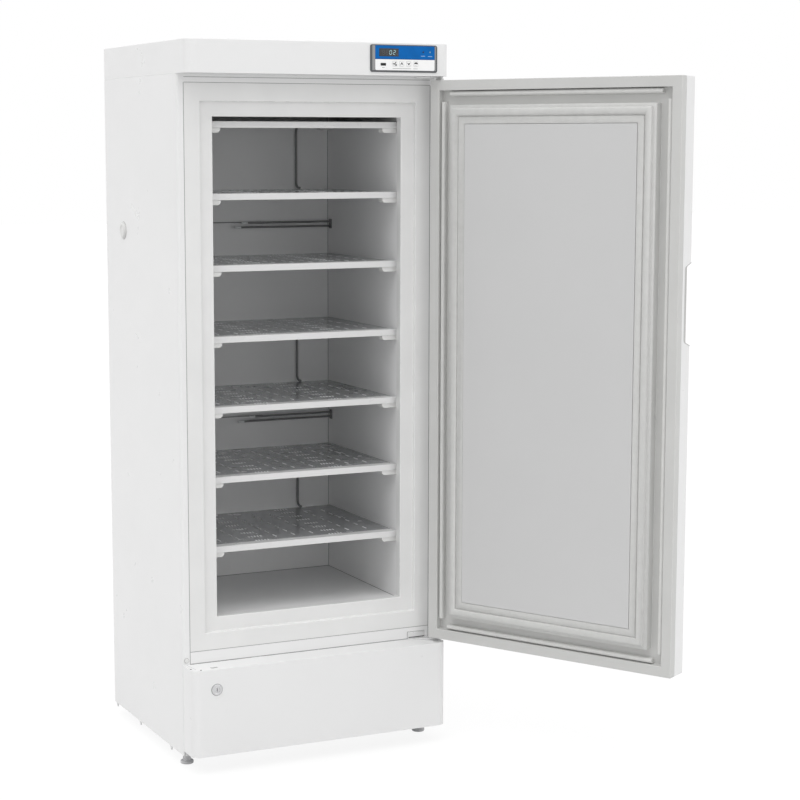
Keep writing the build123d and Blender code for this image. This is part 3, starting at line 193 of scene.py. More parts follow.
def soft_rubber(name, colour, roughness=0.6):
    """Extruded rubber: matt bloom, dust in patches and fine relief."""
    material, tree, shader = new_surface(name, colour, roughness, Sheen_Weight=0.15)
    place = object_place(tree)
    dust = noise(tree, place, 0.02, detail=6, rough=0.7)
    tone = mixed(tree, between(tree, dust, 0, 1), shaded(colour, 0.95), shaded(colour, 1.03))
    tree.links.new(tone, shader.inputs["Base Color"])
    tree.links.new(between(tree, dust, roughness + 0.08, roughness - 0.06), shader.inputs["Roughness"])
    bumped(tree, shader, noise(tree, place, 0.8 * MM, detail=3), 0.03 * MM)
    return material


def sheet_metal(name, colour, roughness, brushed=(1, 1, 1), stain=0.08, relief=0.01 * MM, metallic=1.0):
    """Bare metal: brushed along its long stretch, with stains that dull it."""
    material, tree, shader = new_surface(name, colour, roughness, metallic)
    lines = noise(tree, object_place(tree, brushed), 1.5 * MM, detail=3)
    cloud = noise(tree, object_place(tree), 0.06, detail=6, rough=0.65)
    tone = mixed(tree, between(tree, cloud, 0, 1), shaded(colour, 1 - stain), shaded(colour, 1 + stain / 2))
    lined = mixed(tree, between(tree, lines, 0, 0.35), tone, shaded(colour, 0.85))
    tree.links.new(lined, shader.inputs["Base Color"])
    tree.links.new(between(tree, cloud, roughness - 0.05, roughness + 0.1), shader.inputs["Roughness"])
    bumped(tree, shader, lines, relief)
    return material


def galvanised_steel(name, colour):
    """Zinc coat: crystals of many tones, each a little flatter or sharper."""
    material, tree, shader = new_surface(name, colour, 0.42, metallic=1.0)
    place = object_place(tree)
    crystal = spangle(tree, place, 9 * MM)
    cloud = noise(tree, place, 0.08, detail=5)
    tone = mixed(tree, crystal, shaded(colour, 0.86), shaded(colour, 1.08))
    stained = mixed(tree, between(tree, cloud, 0, 0.4), tone, shaded(colour, 0.75))
    tree.links.new(stained, shader.inputs["Base Color"])
    tree.links.new(between(tree, crystal, 0.34, 0.52, 0, 1), shader.inputs["Roughness"])
    bumped(tree, shader, crystal, 0.01 * MM)
    return material


def rigid_foam(name, colour):
    """Poured foam: cells, and darker skin where it met the mould."""
    material, tree, shader = new_surface(name, colour, 0.85)
    place = object_place(tree)
    cloud = noise(tree, place, 0.05, detail=5)
    tone = mixed(tree, between(tree, cloud, 0, 1), shaded(colour, 0.85), colour)
    tree.links.new(tone, shader.inputs["Base Color"])
    bumped(tree, shader, noise(tree, place, 1.0 * MM, detail=4), 0.2 * MM)
    return material


def printed_film(name, colour):
    """Control panel film: a colour band above a white one, with a darker line where they meet."""
    material, tree, shader = new_surface(name, colour, 0.38, Specular_IOR_Level=0.12)
    place = object_place(tree)
    split = tree.nodes.new("ShaderNodeSeparateXYZ")
    tree.links.new(place, split.inputs[0])
    height = split.outputs["Z"]
    cloud = between(tree, noise(tree, place, 0.02, detail=3), 0, 1)
    upper = mixed(tree, cloud, shaded(colour, 0.92), shaded(colour, 1.08))
    line = between(tree, height, 0, 1, film_split + 2.2 * MM, film_split + 1.4 * MM)
    lined = mixed(tree, line, upper, shaded(colour, 0.62))
    lower = mixed(tree, cloud, shaded(film_white, 0.97), film_white)
    above = between(tree, height, 0, 1, film_split - 0.1 * MM, film_split + 0.1 * MM)
    tree.links.new(mixed(tree, above, lower, lined), shader.inputs["Base Color"])
    tree.links.new(between(tree, noise(tree, place, 8 * MM, detail=4), 0.3, 0.46), shader.inputs["Roughness"])
    bumped(tree, shader, noise(tree, place, 0.25 * MM, detail=1), 0.004 * MM)
    return material


def dark_window(name, colour):
    """Smoked display window: near black, glossy, with faint smears."""
    material, tree, shader = new_surface(name, colour, 0.12, Coat_Weight=0.6, Coat_Roughness=0.04)
    smear = noise(tree, object_place(tree), 9 * MM, detail=5, distortion=1.0)
    tree.links.new(between(tree, smear, 0.07, 0.25), shader.inputs["Roughness"])
    tone = mixed(tree, between(tree, smear, 0, 1), shaded(colour, 0.8), shaded(colour, 1.6))
    tree.links.new(tone, shader.inputs["Base Color"])
    return material


def lit_mark(name, colour, glow):
    """Lamp or digit that shines through a printed film, a little uneven."""
    material, tree, shader = new_surface(name, colour, 0.3, Emission_Strength=glow)
    patch = noise(tree, object_place(tree), 1.5 * MM, detail=3)
    tone = mixed(tree, between(tree, patch, 0, 1), shaded(colour, 0.85), colour)
    tree.links.new(tone, shader.inputs["Base Color"])
    tree.links.new(tone, shader.inputs["Emission Color"])
    tree.links.new(between(tree, patch, 0.25, 0.4), shader.inputs["Roughness"])
    return material


def highlighted_worn_edge(name, colour, roughness, metallic=0.0):
    """Edge of a finish: lighter as a painted highlight, smoother, with a few tiny dull chips of wear."""
    material, tree, shader = new_surface(name, colour, roughness, metallic)
    place = object_place(tree)
    chip = noise(tree, place, 2.5 * MM, detail=5, rough=0.7)
    rubbed = noise(tree, place, 0.04, detail=4)
    # Painted highlight, uneven: the edge colour lifted by up to a further 5 % where the noise is high
    tone = mixed(tree, between(tree, rubbed, 0, 1), colour, shaded(colour, 1.05))
    chipped = mixed(tree, between(tree, chip, 0, 1, 0.66, 0.74), tone, shaded(colour, 0.72))
    tree.links.new(chipped, shader.inputs["Base Color"])
    tree.links.new(between(tree, rubbed, roughness - 0.08, roughness + 0.05), shader.inputs["Roughness"])
    bumped(tree, shader, chip, 0.02 * MM)
    return material


finishes = {
    "cabinet_paint": (painted_steel, cabinet_white, {}),
    "liner_paint": (painted_steel, liner_grey, {"roughness": 0.4}),
    "panel_paint": (painted_steel, panel_grey, {"roughness": 0.42}),
    "bar_paint": (painted_steel, (0.74, 0.74, 0.74), {"roughness": 0.3}),
    "galvanised": (galvanised_steel, (0.52, 0.53, 0.54), {}),
    "hinge_steel": (
        sheet_metal, (0.74, 0.74, 0.74), {"roughness": 0.28, "brushed": (1, 20, 20), "metallic": 0.3}
    ),
    "chrome": (sheet_metal, (0.62, 0.62, 0.63), {"roughness": 0.14, "brushed": (20, 1, 20), "stain": 0.04}),
    "frame_plastic": (moulded_plastic, frame_white, {"roughness": 0.36}),
    "door_plastic": (moulded_plastic, door_grey, {"roughness": 0.4}),
    "handle_plastic": (moulded_plastic, (0.50, 0.50, 0.49), {}),
    "white_plastic": (moulded_plastic, (0.74, 0.74, 0.73), {"roughness": 0.38}),
    "foam": (rigid_foam, (0.72, 0.62, 0.36), {}),
    "seal_rubber": (soft_rubber, gasket_grey, {}),
    "strip_rubber": (soft_rubber, strip_grey, {"roughness": 0.5}),
    "cold_plate": (
        sheet_metal, (0.50, 0.51, 0.52), {"roughness": 0.2, "brushed": (1, 30, 30), "metallic": 0.45}
    ),
    "tube_metal": (
        sheet_metal, (0.25, 0.25, 0.25), {"roughness": 0.4, "brushed": (8, 8, 8), "metallic": 0.3}
    ),
    "module_dark": (moulded_plastic, (0.09, 0.095, 0.10), {"roughness": 0.4}),
    "overlay_film": (printed_film, film_blue, {}),
    "display_window": (dark_window, (0.007, 0.008, 0.01), {}),
    "key_film": (moulded_plastic, film_white, {"roughness": 0.34, "relief": 0.004 * MM}),
    "circuit_board": (moulded_plastic, (0.01, 0.10, 0.03), {"roughness": 0.35}),
    "foot_plastic": (moulded_plastic, (0.58, 0.58, 0.59), {"roughness": 0.5}),
    "roller_plastic": (moulded_plastic, (0.03, 0.03, 0.032), {"roughness": 0.5}),
    "compressor_paint": (painted_steel, (0.012, 0.012, 0.013), {"roughness": 0.3}),
    "condenser_paint": (painted_steel, (0.02, 0.02, 0.021), {"roughness": 0.5}),
    "fan_plastic": (moulded_plastic, (0.03, 0.03, 0.03), {"roughness": 0.5}),
    "copper": (sheet_metal, (0.60, 0.25, 0.14), {"roughness": 0.3, "brushed": (6, 6, 6), "stain": 0.3}),
    "grille_paint": (painted_steel, (0.66, 0.665, 0.665), {"roughness": 0.5}),
    "inlet_plastic": (moulded_plastic, (0.02, 0.02, 0.02), {"roughness": 0.3}),
    "printed_black": (moulded_plastic, (0.012, 0.012, 0.013), {"roughness": 0.4, "relief": 0.002 * MM}),
    # Grey print; also painted highlight on the bezel's inner step
    "printed_grey": (moulded_plastic, (0.30, 0.30, 0.30), {"roughness": 0.4, "relief": 0.002 * MM}),
    "printed_pale": (moulded_plastic, (0.30, 0.48, 0.72), {"roughness": 0.4, "relief": 0.002 * MM}),
    "digit_lit": (lit_mark, (0.42, 0.66, 0.70), {"glow": 0.55}),
    "digit_dim": (lit_mark, (0.075, 0.078, 0.08), {"glow": 0.0}),
    "lamp_off": (lit_mark, (0.004, 0.006, 0.03), {"glow": 0.0}),
    "lamp_on": (lit_mark, (0.12, 0.26, 0.33), {"glow": 0.3}),
    "joint_shadow": (soft_rubber, (0.32, 0.32, 0.32), {"roughness": 0.8}),
    "screw_zinc": (sheet_metal, (0.60, 0.60, 0.60), {"roughness": 0.25, "brushed": (9, 9, 9)}),
    # Dark screw heads; also painted shade in the hinge's fold and the gusset holes
    "screw_dark": (sheet_metal, (0.10, 0.10, 0.10), {"roughness": 0.4, "brushed": (9, 9, 9)}),
    # Near-white metal: the probe tips' own finish, and painted highlight on the shelves' collars
    "rim_bright": (
        sheet_metal, (0.93, 0.94, 0.95), {"roughness": 0.3, "brushed": (9, 9, 9), "metallic": 0.1}
    ),
}
surfaces = {name: maker(name, colour, **details) for name, (maker, colour, details) in finishes.items()}
# Edge twins: 4 % lighter than their finish as a painted highlight along the eased edges, and a little
# glossier
edges = {
    name: highlighted_worn_edge(
        f"{name}_edge",
        shaded(colour, 1.04),
        max(0.12, details.get("roughness", 0.4) - 0.06),
        1.0 if maker in (sheet_metal, galvanised_steel) else 0.0,
    )
    for name, (maker, colour, details) in finishes.items()
    if maker in (painted_steel, moulded_plastic, soft_rubber, sheet_metal, galvanised_steel)
}


# Carried-over CAD nodes: their finish, and edges eased as folded and moulded ones are

def smooth_group():
    """Node group that forgets the imported normals and shades smooth below a corner's angle."""
    group = bpy.data.node_groups.new("smooth_by_angle", "GeometryNodeTree")
    for way in ("INPUT", "OUTPUT"):
        group.interface.new_socket("Geometry", in_out=way, socket_type="NodeSocketGeometry")
    start = group.nodes.new("NodeGroupInput")
    forget = group.nodes.new("GeometryNodeRemoveAttribute")
    forget.inputs["Name"].default_value = "custom_normal"
    faces = group.nodes.new("GeometryNodeSetShadeSmooth")
    faces.domain = "FACE"
    corners = group.nodes.new("GeometryNodeSetShadeSmooth")
    corners.domain = "EDGE"
    corners.inputs["Shade Smooth"].default_value = False
    angle = group.nodes.new("GeometryNodeInputMeshEdgeAngle")
    sharp = group.nodes.new("FunctionNodeCompare")
    sharp.operation = "GREATER_THAN"
    sharp.inputs[1].default_value = math.radians(34)
    stop = group.nodes.new("NodeGroupOutput")
    group.links.new(start.outputs[0], forget.inputs[0])
    group.links.new(forget.outputs[0], faces.inputs[0])
    group.links.new(faces.outputs[0], corners.inputs[0])
    group.links.new(angle.outputs[0], sharp.inputs[0])
    group.links.new(sharp.outputs[0], corners.inputs["Selection"])
    group.links.new(corners.outputs[0], stop.inputs[0])
    return group


soft_edge = 0.8
soft_edges = {
    "door_skin": 1.2, "door_liner": 1.6, "door_frame": 1.4, "door_inner_panel": 1.2, "seal_strips": 0.6,
    "handle_cup": 1.4, "shelf_supports": 1.2, "top_cap": 1.2, "base_panel": 1.0, "cabinet_foam": 0,
    "door_foam": 0, "controller_board": 0, "rear_grille": 0.4, "condenser": 0.3,
}
smoothing = smooth_group()
slot_of = {part["node"]: part["material_slot"] for part in frame["record"]["subparts"]}

for node_name, node in frame["nodes"].items():
    finish = slot_of[node_name]
    node.data.materials.clear()
    node.data.materials.append(surfaces[finish])
    width = soft_edges.get(node_name, soft_edge)
    weld = node.modifiers.new("weld", "WELD")
    weld.merge_threshold = 0.01 * MM
    flat = node.modifiers.new("flat", "DECIMATE")
    flat.decimate_type = "DISSOLVE"
    flat.angle_limit = math.radians(0.5)
    if width:
        eased = node.modifiers.new("eased", "BEVEL")
        eased.width = width * MM
        eased.segments = 2
        eased.limit_method = "ANGLE"
        eased.angle_limit = math.radians(34)
        if finish in edges:
            node.data.materials.append(edges[finish])
            eased.material = 1
    smooth = node.modifiers.new("smooth", "NODES")
    smooth.node_group = smoothing
    level = node.modifiers.new("level", "WEIGHTED_NORMAL")
    level.keep_sharp = True


# Shapes are drawn in millimetres, with u and v across each axis: Y and Z for X, X and Z for Y, X and Y for Z

def at(axis, along, u, v):
    """Point at a distance along an axis and at u and v across it."""
    return {"X": (along, u, v), "Y": (u, along, v), "Z": (u, v, along)}[axis]


def joined(shape, rings):
    """Adds the faces between each ring of points and the next."""
    for near, far in zip(rings, rings[1:]):
        for k in range(len(near)):
            after = (k + 1) % len(near)
            shape.faces.new((near[k], near[after], far[after], far[k]))


def round_steps(sides):
    """Cosine and sine of each step round a circle."""
    turns = [2 * math.pi * k / sides for k in range(sides)]
    return [(math.cos(turn), math.sin(turn)) for turn in turns]


def turned(shape, profile, centre, axis="Z", sides=64):
    """Adds a profile of distance and radius pairs, turned round an axis through a centre."""
    turns = round_steps(sides)
    rings = []
    for along, radius in profile:
        rings.append([
            shape.verts.new(at(axis, along, centre[0] + radius * c, centre[1] + radius * s))
            for c, s in turns
        ])
    joined(shape, rings)


def plated(shape, outline, low, high, axis="Y"):
    """Adds a plate with a straight-edged outline of u and v, from low to high along an axis."""
    near, far = [[shape.verts.new(at(axis, level, u, v)) for u, v in outline] for level in (low, high)]
    shape.faces.new(near)
    shape.faces.new(far)
    joined(shape, (near, far))


def oblong(width, height, centre, radius=0.0, steps=4):
    """Outline of a rectangle with rounded corners."""
    if not radius:
        steps = 0
    points = []
    for corner, (side_u, side_v) in enumerate(((1, 1), (-1, 1), (-1, -1), (1, -1))):
        for step in range(steps + 1):
            turn = math.pi / 2 * (corner + (step / steps if steps else 0))
            points.append((
                centre[0] + side_u * (width / 2 - radius) + radius * math.cos(turn),
                centre[1] + side_v * (height / 2 - radius) + radius * math.sin(turn),
            ))
    return points


def piped(shape, points, radius, bend, sides=16):
    """Adds a round tube through points, with each corner eased from bend before it to bend after it."""
    path = [Vector(points[0])]
    for before, corner, after in zip(points, points[1:], points[2:]):
        corner = Vector(corner)
        start = corner + (Vector(before) - corner).normalized() * bend
        stop = corner + (Vector(after) - corner).normalized() * bend
        for step in range(9):
            share = step / 8
            path.append(start.lerp(corner, share).lerp(corner.lerp(stop, share), share))
    path.append(Vector(points[-1]))
    heading = (path[1] - path[0]).normalized()
    across = heading.orthogonal().normalized()
    rings = []
    for place, before, after in zip(path, path[:1] + path, path[1:] + path[-1:]):
        ahead = (after - before).normalized()
        across.rotate(heading.rotation_difference(ahead))
        heading = ahead
        other = heading.cross(across)
        rings.append([
            shape.verts.new(place + across * radius * c + other * radius * s)
            for c, s in round_steps(sides)
        ])
    shape.faces.new(rings[0])
    shape.faces.new(rings[-1])
    joined(shape, rings)


def framed(shape, profile, half):
    """Adds a mitred ring: each profile point is a distance in from the half sizes and a height in y."""
    rings = []
    for inset, level in profile:
        u, v = half[0] - inset, half[1] - inset
        rings.append([shape.verts.new((x, level, z)) for x, z in ((u, v), (-u, v), (-u, -v), (u, -v))])
    joined(shape, rings + rings[:1])


def new_mesh(name, shape, finish, corner=34):
    """Mesh in metres of a shape in millimetres, smooth below a corner's angle in degrees."""
    bmesh.ops.remove_doubles(shape, verts=shape.verts, dist=0.0005)
    bmesh.ops.recalc_face_normals(shape, faces=shape.faces)
    bmesh.ops.scale(shape, vec=(MM, MM, MM), verts=shape.verts)
    mesh = bpy.data.meshes.new(name)
    shape.to_mesh(mesh)
    shape.free()
    mesh.shade_smooth()
    mesh.set_sharp_from_angle(angle=math.radians(corner))
    mesh.materials.append(surfaces[finish])
    return mesh


def add_piece(name, mesh, slot, body, *replaced):
    """Object of a mesh that rides on a body, hiding the CAD nodes it replaces; its slot is not used."""
    made = bpy.data.objects.new(name, mesh)
    bpy.context.scene.collection.objects.link(made)
    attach(made, body)
    if replaced:
        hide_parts(*replaced)
    return made


def drawn(name, draw, slot, body, *replaced, finish=None, corner=34):
    """Piece whose shape a function draws."""
    shape = bmesh.new()
    draw(shape)
    return add_piece(name, new_mesh(name, shape, finish or slot, corner), slot, body, *replaced)


# The door is drawn closed, in the source's coordinates, and then swung open as the CAD nodes are
hinge_x, hinge_y = 317.0, -30.5
door_z = 920.1
opened = (
    Matrix.Translation((hinge_x * MM, hinge_y * MM, 0))
    @ Matrix.Rotation(math.radians(119), 4, "Z")
    @ Matrix.Translation((-hinge_x * MM, -hinge_y * MM, 0))
)

# Gasket: lip, round bulge that holds the magnet, groove and border, as distance in and height
gasket_half = (267.0, 606.4)
dike_y = -2.0
bulge_centre, bulge_half, bulge_shoulder, bulge_crest = 16.5, 8.5, 6.0, 11.7
gasket_profile = [(0.4, 0), (0, 0.4), (0, 0.9), (0.4, 1.3), (7.2, 1.3), (8.0, 2.0)]
for step in range(15):
    turn = math.pi * step / 14
    gasket_profile.append((
        bulge_centre - bulge_half * math.cos(turn),
        bulge_shoulder + (bulge_crest - bulge_shoulder) * math.sin(turn),
    ))
gasket_profile += [(25.2, 5.3), (26.8, 5.0), (27.0, 6.7), (27.6, 7.3), (42.4, 7.3), (43.0, 6.7), (43.0, 0)]


def draw_gasket(shape):
    framed(shape, [(inset, dike_y + level) for inset, level in gasket_profile], gasket_half)
    bmesh.ops.translate(shape, vec=(0, 0, door_z), verts=shape.verts)


gasket = drawn("gasket", draw_gasket, "seal_rubber", "door", "door_gasket", corner=50)
gasket.data.transform(opened)


# Shelves: rolled plates with slots and clusters of drawn holes, each with a raised collar, bright as a
# painted highlight
plate_half, plate_front, plate_back = 241.0, 45.0, 434.0
plate_thickness, plate_rim = 1.5, 5.0
slot_places = [(47.5 * column, 114.5 + 50 * row) for column in (-4, -3, -1, 0, 1, 3, 4) for row in range(6)]
cluster_places = [(side * 95.0, y) for side in (-1, 1) for y in (76, 124, 172, 222, 272, 320, 372, 416)]
hole_places = [
    (x + 7.6 * column, y + 3.0 * row)
    for x, y in cluster_places for column in range(-2, 3) for row in (-1, 1)
]
pin_places = [(5.4 * column, 427.0) for column in range(-42, 43)]


def ring_of(centre, width, length, points):
    """Outline of a slot with round ends, or of a round hole where both sizes are the same."""
    radius = width / 2
    straight = (length - width) / 2
    outline = []
    for k in range(points):
        turn = 2 * math.pi * (k + 0.5) / points
        outline.append((
            centre[0] + radius * math.cos(turn),
            centre[1] + radius * math.sin(turn) + math.copysign(straight, math.sin(turn)),
        ))
    return outline


def plate_curve(outlines, thickness):
    """Mesh of a flat sheet in millimetres that is filled between its outline and its holes."""
    curve = bpy.data.curves.new("plate_outline", "CURVE")
    curve.dimensions = "2D"
    curve.fill_mode = "BOTH"
    curve.extrude = thickness / 2
    for outline in outlines:
        spline = curve.splines.new("POLY")
        spline.points.add(len(outline) - 1)
        for point, (x, y) in zip(spline.points, outline):
            point.co = (x, y, 0, 1)
        spline.use_cyclic_u = True
    holder = bpy.data.objects.new("plate_outline", curve)
    mesh = bpy.data.meshes.new_from_object(holder)
    bpy.data.objects.remove(holder)
    bpy.data.curves.remove(curve)
    return mesh


def draw_plate(shape):
    """Plate whose top is at z 0, with its folded rim and the pressed run beneath."""
    middle = (plate_front + plate_back) / 2
    outlines = [oblong(2 * plate_half, plate_back - plate_front, (0, middle), 3.0)]
    outlines += [ring_of(place, 3.2, 22.0, 12) for place in slot_places]
    outlines += [ring_of(place, 3.4, 3.4, 8) for place in hole_places]
    outlines += [ring_of(place, 2.0, 2.0, 6) for place in pin_places]
    sheet = plate_curve(outlines, plate_thickness)
    sheet.transform(Matrix.Translation((0, 0, -plate_thickness / 2)))
    shape.from_mesh(sheet)
    bpy.data.meshes.remove(sheet)
    for y in (plate_front + 0.6, plate_back - 0.6):
        plated(shape, oblong(2 * plate_half - 4, 1.2, (0, y)), -plate_rim, -plate_thickness, "Z")
    for x in (-plate_half + 0.6, plate_half - 0.6):
        fold = oblong(1.2, plate_back - plate_front - 4, (x, middle))
        plated(shape, fold, -plate_rim, -plate_thickness, "Z")
    run = []
    for row in range(8):
        y, side = 64.5 + 50.0 * row, (-1) ** row
        run += [(-205.0 * side, y, -2.6), (205.0 * side, y, -2.6)]
    piped(shape, run, 2.2, 12.0, sides=10)


def draw_collars(shape):
    """Raised collars of a plate's slots and holes, each closed below by a sheet; their bright colour paints
    the highlights and the light seen through the slots. Its top is at z 0.
    """
    steps = ((0.9, -0.2), (0.4, 0.7), (-0.3, 0.7), (-0.6, 0.2))
    cups = [(place, 2.6, 21.4, 12) for place in slot_places] + [(place, 2.7, 2.7, 8) for place in hole_places]
    for place, width, length, points in cups:
        levels = [
            [shape.verts.new((x, y, level)) for x, y in ring_of(place, width + grow, length + grow, points)]
            for grow, level in steps
        ]
        # Sheet that closes the collar below: painted light seen through the slot
        shape.faces.new(levels[-1])
        joined(shape, levels)


plate_shape = bmesh.new()
draw_plate(plate_shape)
plate_mesh = new_mesh("shelf_plate", plate_shape, "cold_plate")
collar_shape = bmesh.new()
draw_collars(collar_shape)
# Collars in near-white metal: painted highlight on the slots' edges
collar_mesh = new_mesh("shelf_collars", collar_shape, "rim_bright")
for number in range(1, 8):
    node_name = f"shelf_{number}"
    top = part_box(node_name)[1].z
    plate = add_piece(f"cold_plate_{number}", plate_mesh, "cold_plate", "cabinet", node_name)
    collars = add_piece(f"plate_collars_{number}", collar_mesh, "cold_plate", "cabinet")
    plate.location = collars.location = (0, 0, top)


# Tubes of the chamber
riser_x, riser_y, riser_end = 155.0, 444.7, 422.7
plate_tops = [507.2 + 163.4 * index for index in range(7)]
probe_pairs = ((745.6, (228.0, 258.0)), (1235.8, (244.0, 262.0)))


def draw_risers(shape):
    for gap in (0, 2, 5):
        low, high = plate_tops[gap] + 3.3, plate_tops[gap + 1] - 8.3
        corners = [(riser_x, riser_end, low), (riser_x, riser_y, low), (riser_x, riser_y, high)]
        piped(shape, corners + [(riser_x, riser_end, high)], 3.0, 16.0)


def draw_probes(shape):
    """Two pairs of tubes on their brackets, each with a lead to the left wall."""
    for height, lengths in probe_pairs:
        plated(shape, oblong(14, 24, (430, height), 2.0), 242.0, 244.0, "X")
        for side, length in zip((1, -1), lengths):
            end = 244.0 - length
            profile = [(243.0, 0), (243.0, 2.5), (end + 1.2, 2.5), (end + 0.3, 1.7), (end, 0)]
            turned(shape, profile, (430, height + side * 5.5), "X", 20)
        lead = [(248 - lengths[0], 430, height + 5.5), (60, 438, height + 7), (-243.6, 438, height + 7)]
        piped(shape, lead, 1.1, 10.0, sides=10)


def draw_probe_tips(shape):
    for height, lengths in probe_pairs:
        for side, length in zip((1, -1), lengths):
            end = 244.0 - length
            profile = [(end + 16, 2.5), (end + 15.5, 3.0), (end + 0.6, 3.0), (end - 0.1, 2.2), (end - 0.3, 0)]
            turned(shape, profile, (430, height + side * 5.5), "X", 20)


drawn("riser_pipes", draw_risers, "tube_metal", "cabinet", "riser_tubes")
drawn("probe_pair", draw_probes, "tube_metal", "cabinet", "sensor_probes")
drawn("probe_tips", draw_probe_tips, "tube_metal", "cabinet", finish="rim_bright")


# Chamber: caps that close the shelf bars' ends, and thin dark strips of painted shade in the corners where
# the liner's walls meet
def draw_bar_ends(shape):
    for side in (-1, 1):
        for index in range(7):
            bottom = 493.7 + 163.4 * index
            ends = oblong(27.4, 14.3, (55.0, bottom + 7.35), 1.4)
            plated(shape, ends, min(side * 234.0, side * 242.6), max(side * 234.0, side * 242.6), "X")


def draw_liner_corner_shade(shape):
    # Painted shade: thin dark wedges along the liner's inside corners
    for side in (-1, 1):
        edge = side * 244.0
        inner = side * 243.0
        plated(shape, [(edge, 447.0), (inner, 447.9), (edge, 447.9)], 342.6, 1506.9, "Z")
        plated(shape, [(edge, 343.4), (inner, 342.6), (edge, 342.6)], 14.0, 447.0)
    plated(shape, [(447.0, 342.6), (447.9, 343.6), (447.9, 342.6)], -244.0, 244.0, "X")


drawn("bar_ends", draw_bar_ends, "bar_paint", "cabinet")
drawn("liner_corner_shade", draw_liner_corner_shade, "liner_paint", "cabinet", finish="joint_shadow")


# Feet, rollers, access port, lock ring and hinge hole plug: turned parts
def draw_foot(centre):
    def draw(shape):
        pad = [(0, 0), (0, 13.6), (0.6, 14.8), (1.8, 15.5), (5.4, 15.5), (6.6, 14.9), (7.0, 13.8)]
        pad += [(7.2, 9.4), (7.2, 0)]
        turned(shape, pad, centre)
        stem = [(20.0, 0), (20.0, 5.0)]
        for thread in range(18):
            stem += [(20.4 + 1.2 * thread, 5.0), (21.0 + 1.2 * thread, 4.5)]
        turned(shape, stem + [(42.0, 4.6), (42.0, 0)], centre, sides=32)
        collar = [
            (centre[0] + 9.0 / math.cos(math.pi / 6) * math.cos(math.pi * k / 3),
             centre[1] + 9.0 / math.cos(math.pi / 6) * math.sin(math.pi * k / 3))
            for k in range(6)
        ]
        plated(shape, collar, 7.0, 20.0, "Z")
    return draw


for side, side_name in ((-1, "left"), (1, "right")):
    drawn(
        f"{side_name}_levelling_pad", draw_foot((side * 303.0, 42.0)), "foot_plastic",
        f"{side_name}_levelling_foot", f"{side_name}_foot",
    )


def draw_roller(centre_x):
    def draw(shape):
        flank = [(-8.0, 3.1), (-8.0, 6.0), (-7.4, 6.6), (-7.4, 9.6), (-8.2, 10.2), (-9.0, 11.4)]
        flank.append((-8.2, 12.6))
        profile = flank + [(-7.4, 13.0), (7.4, 13.0)]
        profile += [(-along, radius) for along, radius in reversed(flank)]
        profile.append(profile[0])
        turned(shape, [(centre_x + along, radius) for along, radius in profile], (440.0, 13.0), "X", 48)
    return draw


for side, side_name in ((-1, "left"), (1, "right")):
    drawn(
        f"{side_name}_rear_roller", draw_roller(side * 245.0), "roller_plastic", f"{side_name}_wheel",
        f"{side_name}_roller", corner=40,
    )

port_centre = (381.0, 1231.0)


def draw_port(shape):
    profile = [(-325.0, 20.0), (-325.9, 20.0), (-326.5, 19.2), (-326.5, 13.6), (-326.0, 13.0), (-244.0, 13.0)]
    profile += [(-244.0, 15.0), (-325.0, 15.0), (-325.0, 20.0)]
    turned(shape, profile, port_centre, "X")


def draw_plug(shape):
    profile = [(-276.5, 0), (-276.5, 11.6), (-277.5, 12.6), (-326.5, 12.6), (-326.5, 17.6), (-327.2, 18.0)]
    profile += [(-328.6, 17.6), (-329.9, 16.2), (-330.5, 14.6), (-330.4, 12.0), (-329.4, 11.0), (-329.2, 0)]
    turned(shape, profile, port_centre, "X")


drawn("port_ring", draw_port, "white_plastic", "cabinet", "port_sleeve")
drawn("port_stopper", draw_plug, "white_plastic", "plug", "port_plug")


def draw_port_shadow(shape):
    # Painted shadow: a thin dark ring on the side panel round the port's rim
    turned(shape, [(-325.12, 20.2), (-325.12, 21.3), (-325.0, 21.4)], port_centre, "X")


drawn("port_ring_shadow", draw_port_shadow, "seal_rubber", "cabinet", finish="joint_shadow")

lock_centre = (-267.0, 198.5)


def draw_lock_ring(shape):
    profile = [(-65.0, 13.0), (-66.0, 13.0), (-66.9, 12.5), (-67.3, 11.6), (-67.3, 9.4), (-66.9, 8.8)]
    profile += [(-66.9, 7.6), (-67.1, 7.2), (-67.0, 6.7), (-66.0, 6.65)]
    turned(shape, profile, lock_centre, "Y")


def draw_lock_shadow(shape):
    # Painted shadow: a thin dark ring on the panel round the lock's rim
    turned(shape, [(-65.1, 13.0), (-65.1, 13.9), (-65.0, 14.0)], lock_centre, "Y")


drawn("lock_ring", draw_lock_ring, "chrome", "cabinet")
drawn("lock_ring_shadow", draw_lock_shadow, "seal_rubber", "cabinet", finish="joint_shadow")


def draw_hole_plug(shape):
    turned(shape, [(0.0, 5.2), (-0.7, 5.2), (-1.2, 4.6), (-1.5, 3.0), (-1.6, 0)], (-316.25, 256.5), "Y", 40)


def draw_hole_plug_shadow(shape):
    # Painted shadow: a thin dark ring round the hinge hole's cap
    turned(shape, [(-0.1, 5.2), (-0.1, 6.0), (0.0, 6.1)], (-316.25, 256.5), "Y", 40)


drawn("hinge_hole_cap", draw_hole_plug, "white_plastic", "cabinet")
drawn("hinge_hole_cap_shadow", draw_hole_plug_shadow, "seal_rubber", "cabinet", finish="joint_shadow")


# Control face: digits, key signs, lamps and printed lines, each a thin layer on what carries it
face_y = -67.0
print_depth = 0.08
segment_shapes = {
    "a": (0, 1, "level"), "b": (1, 0.5, "upright"), "c": (1, -0.5, "upright"), "d": (0, -1, "level"),
    "e": (-1, -0.5, "upright"), "f": (-1, 0.5, "upright"), "g": (0, 0, "level"),
}
digit_width, digit_height, segment_width = 5.0, 9.6, 0.8


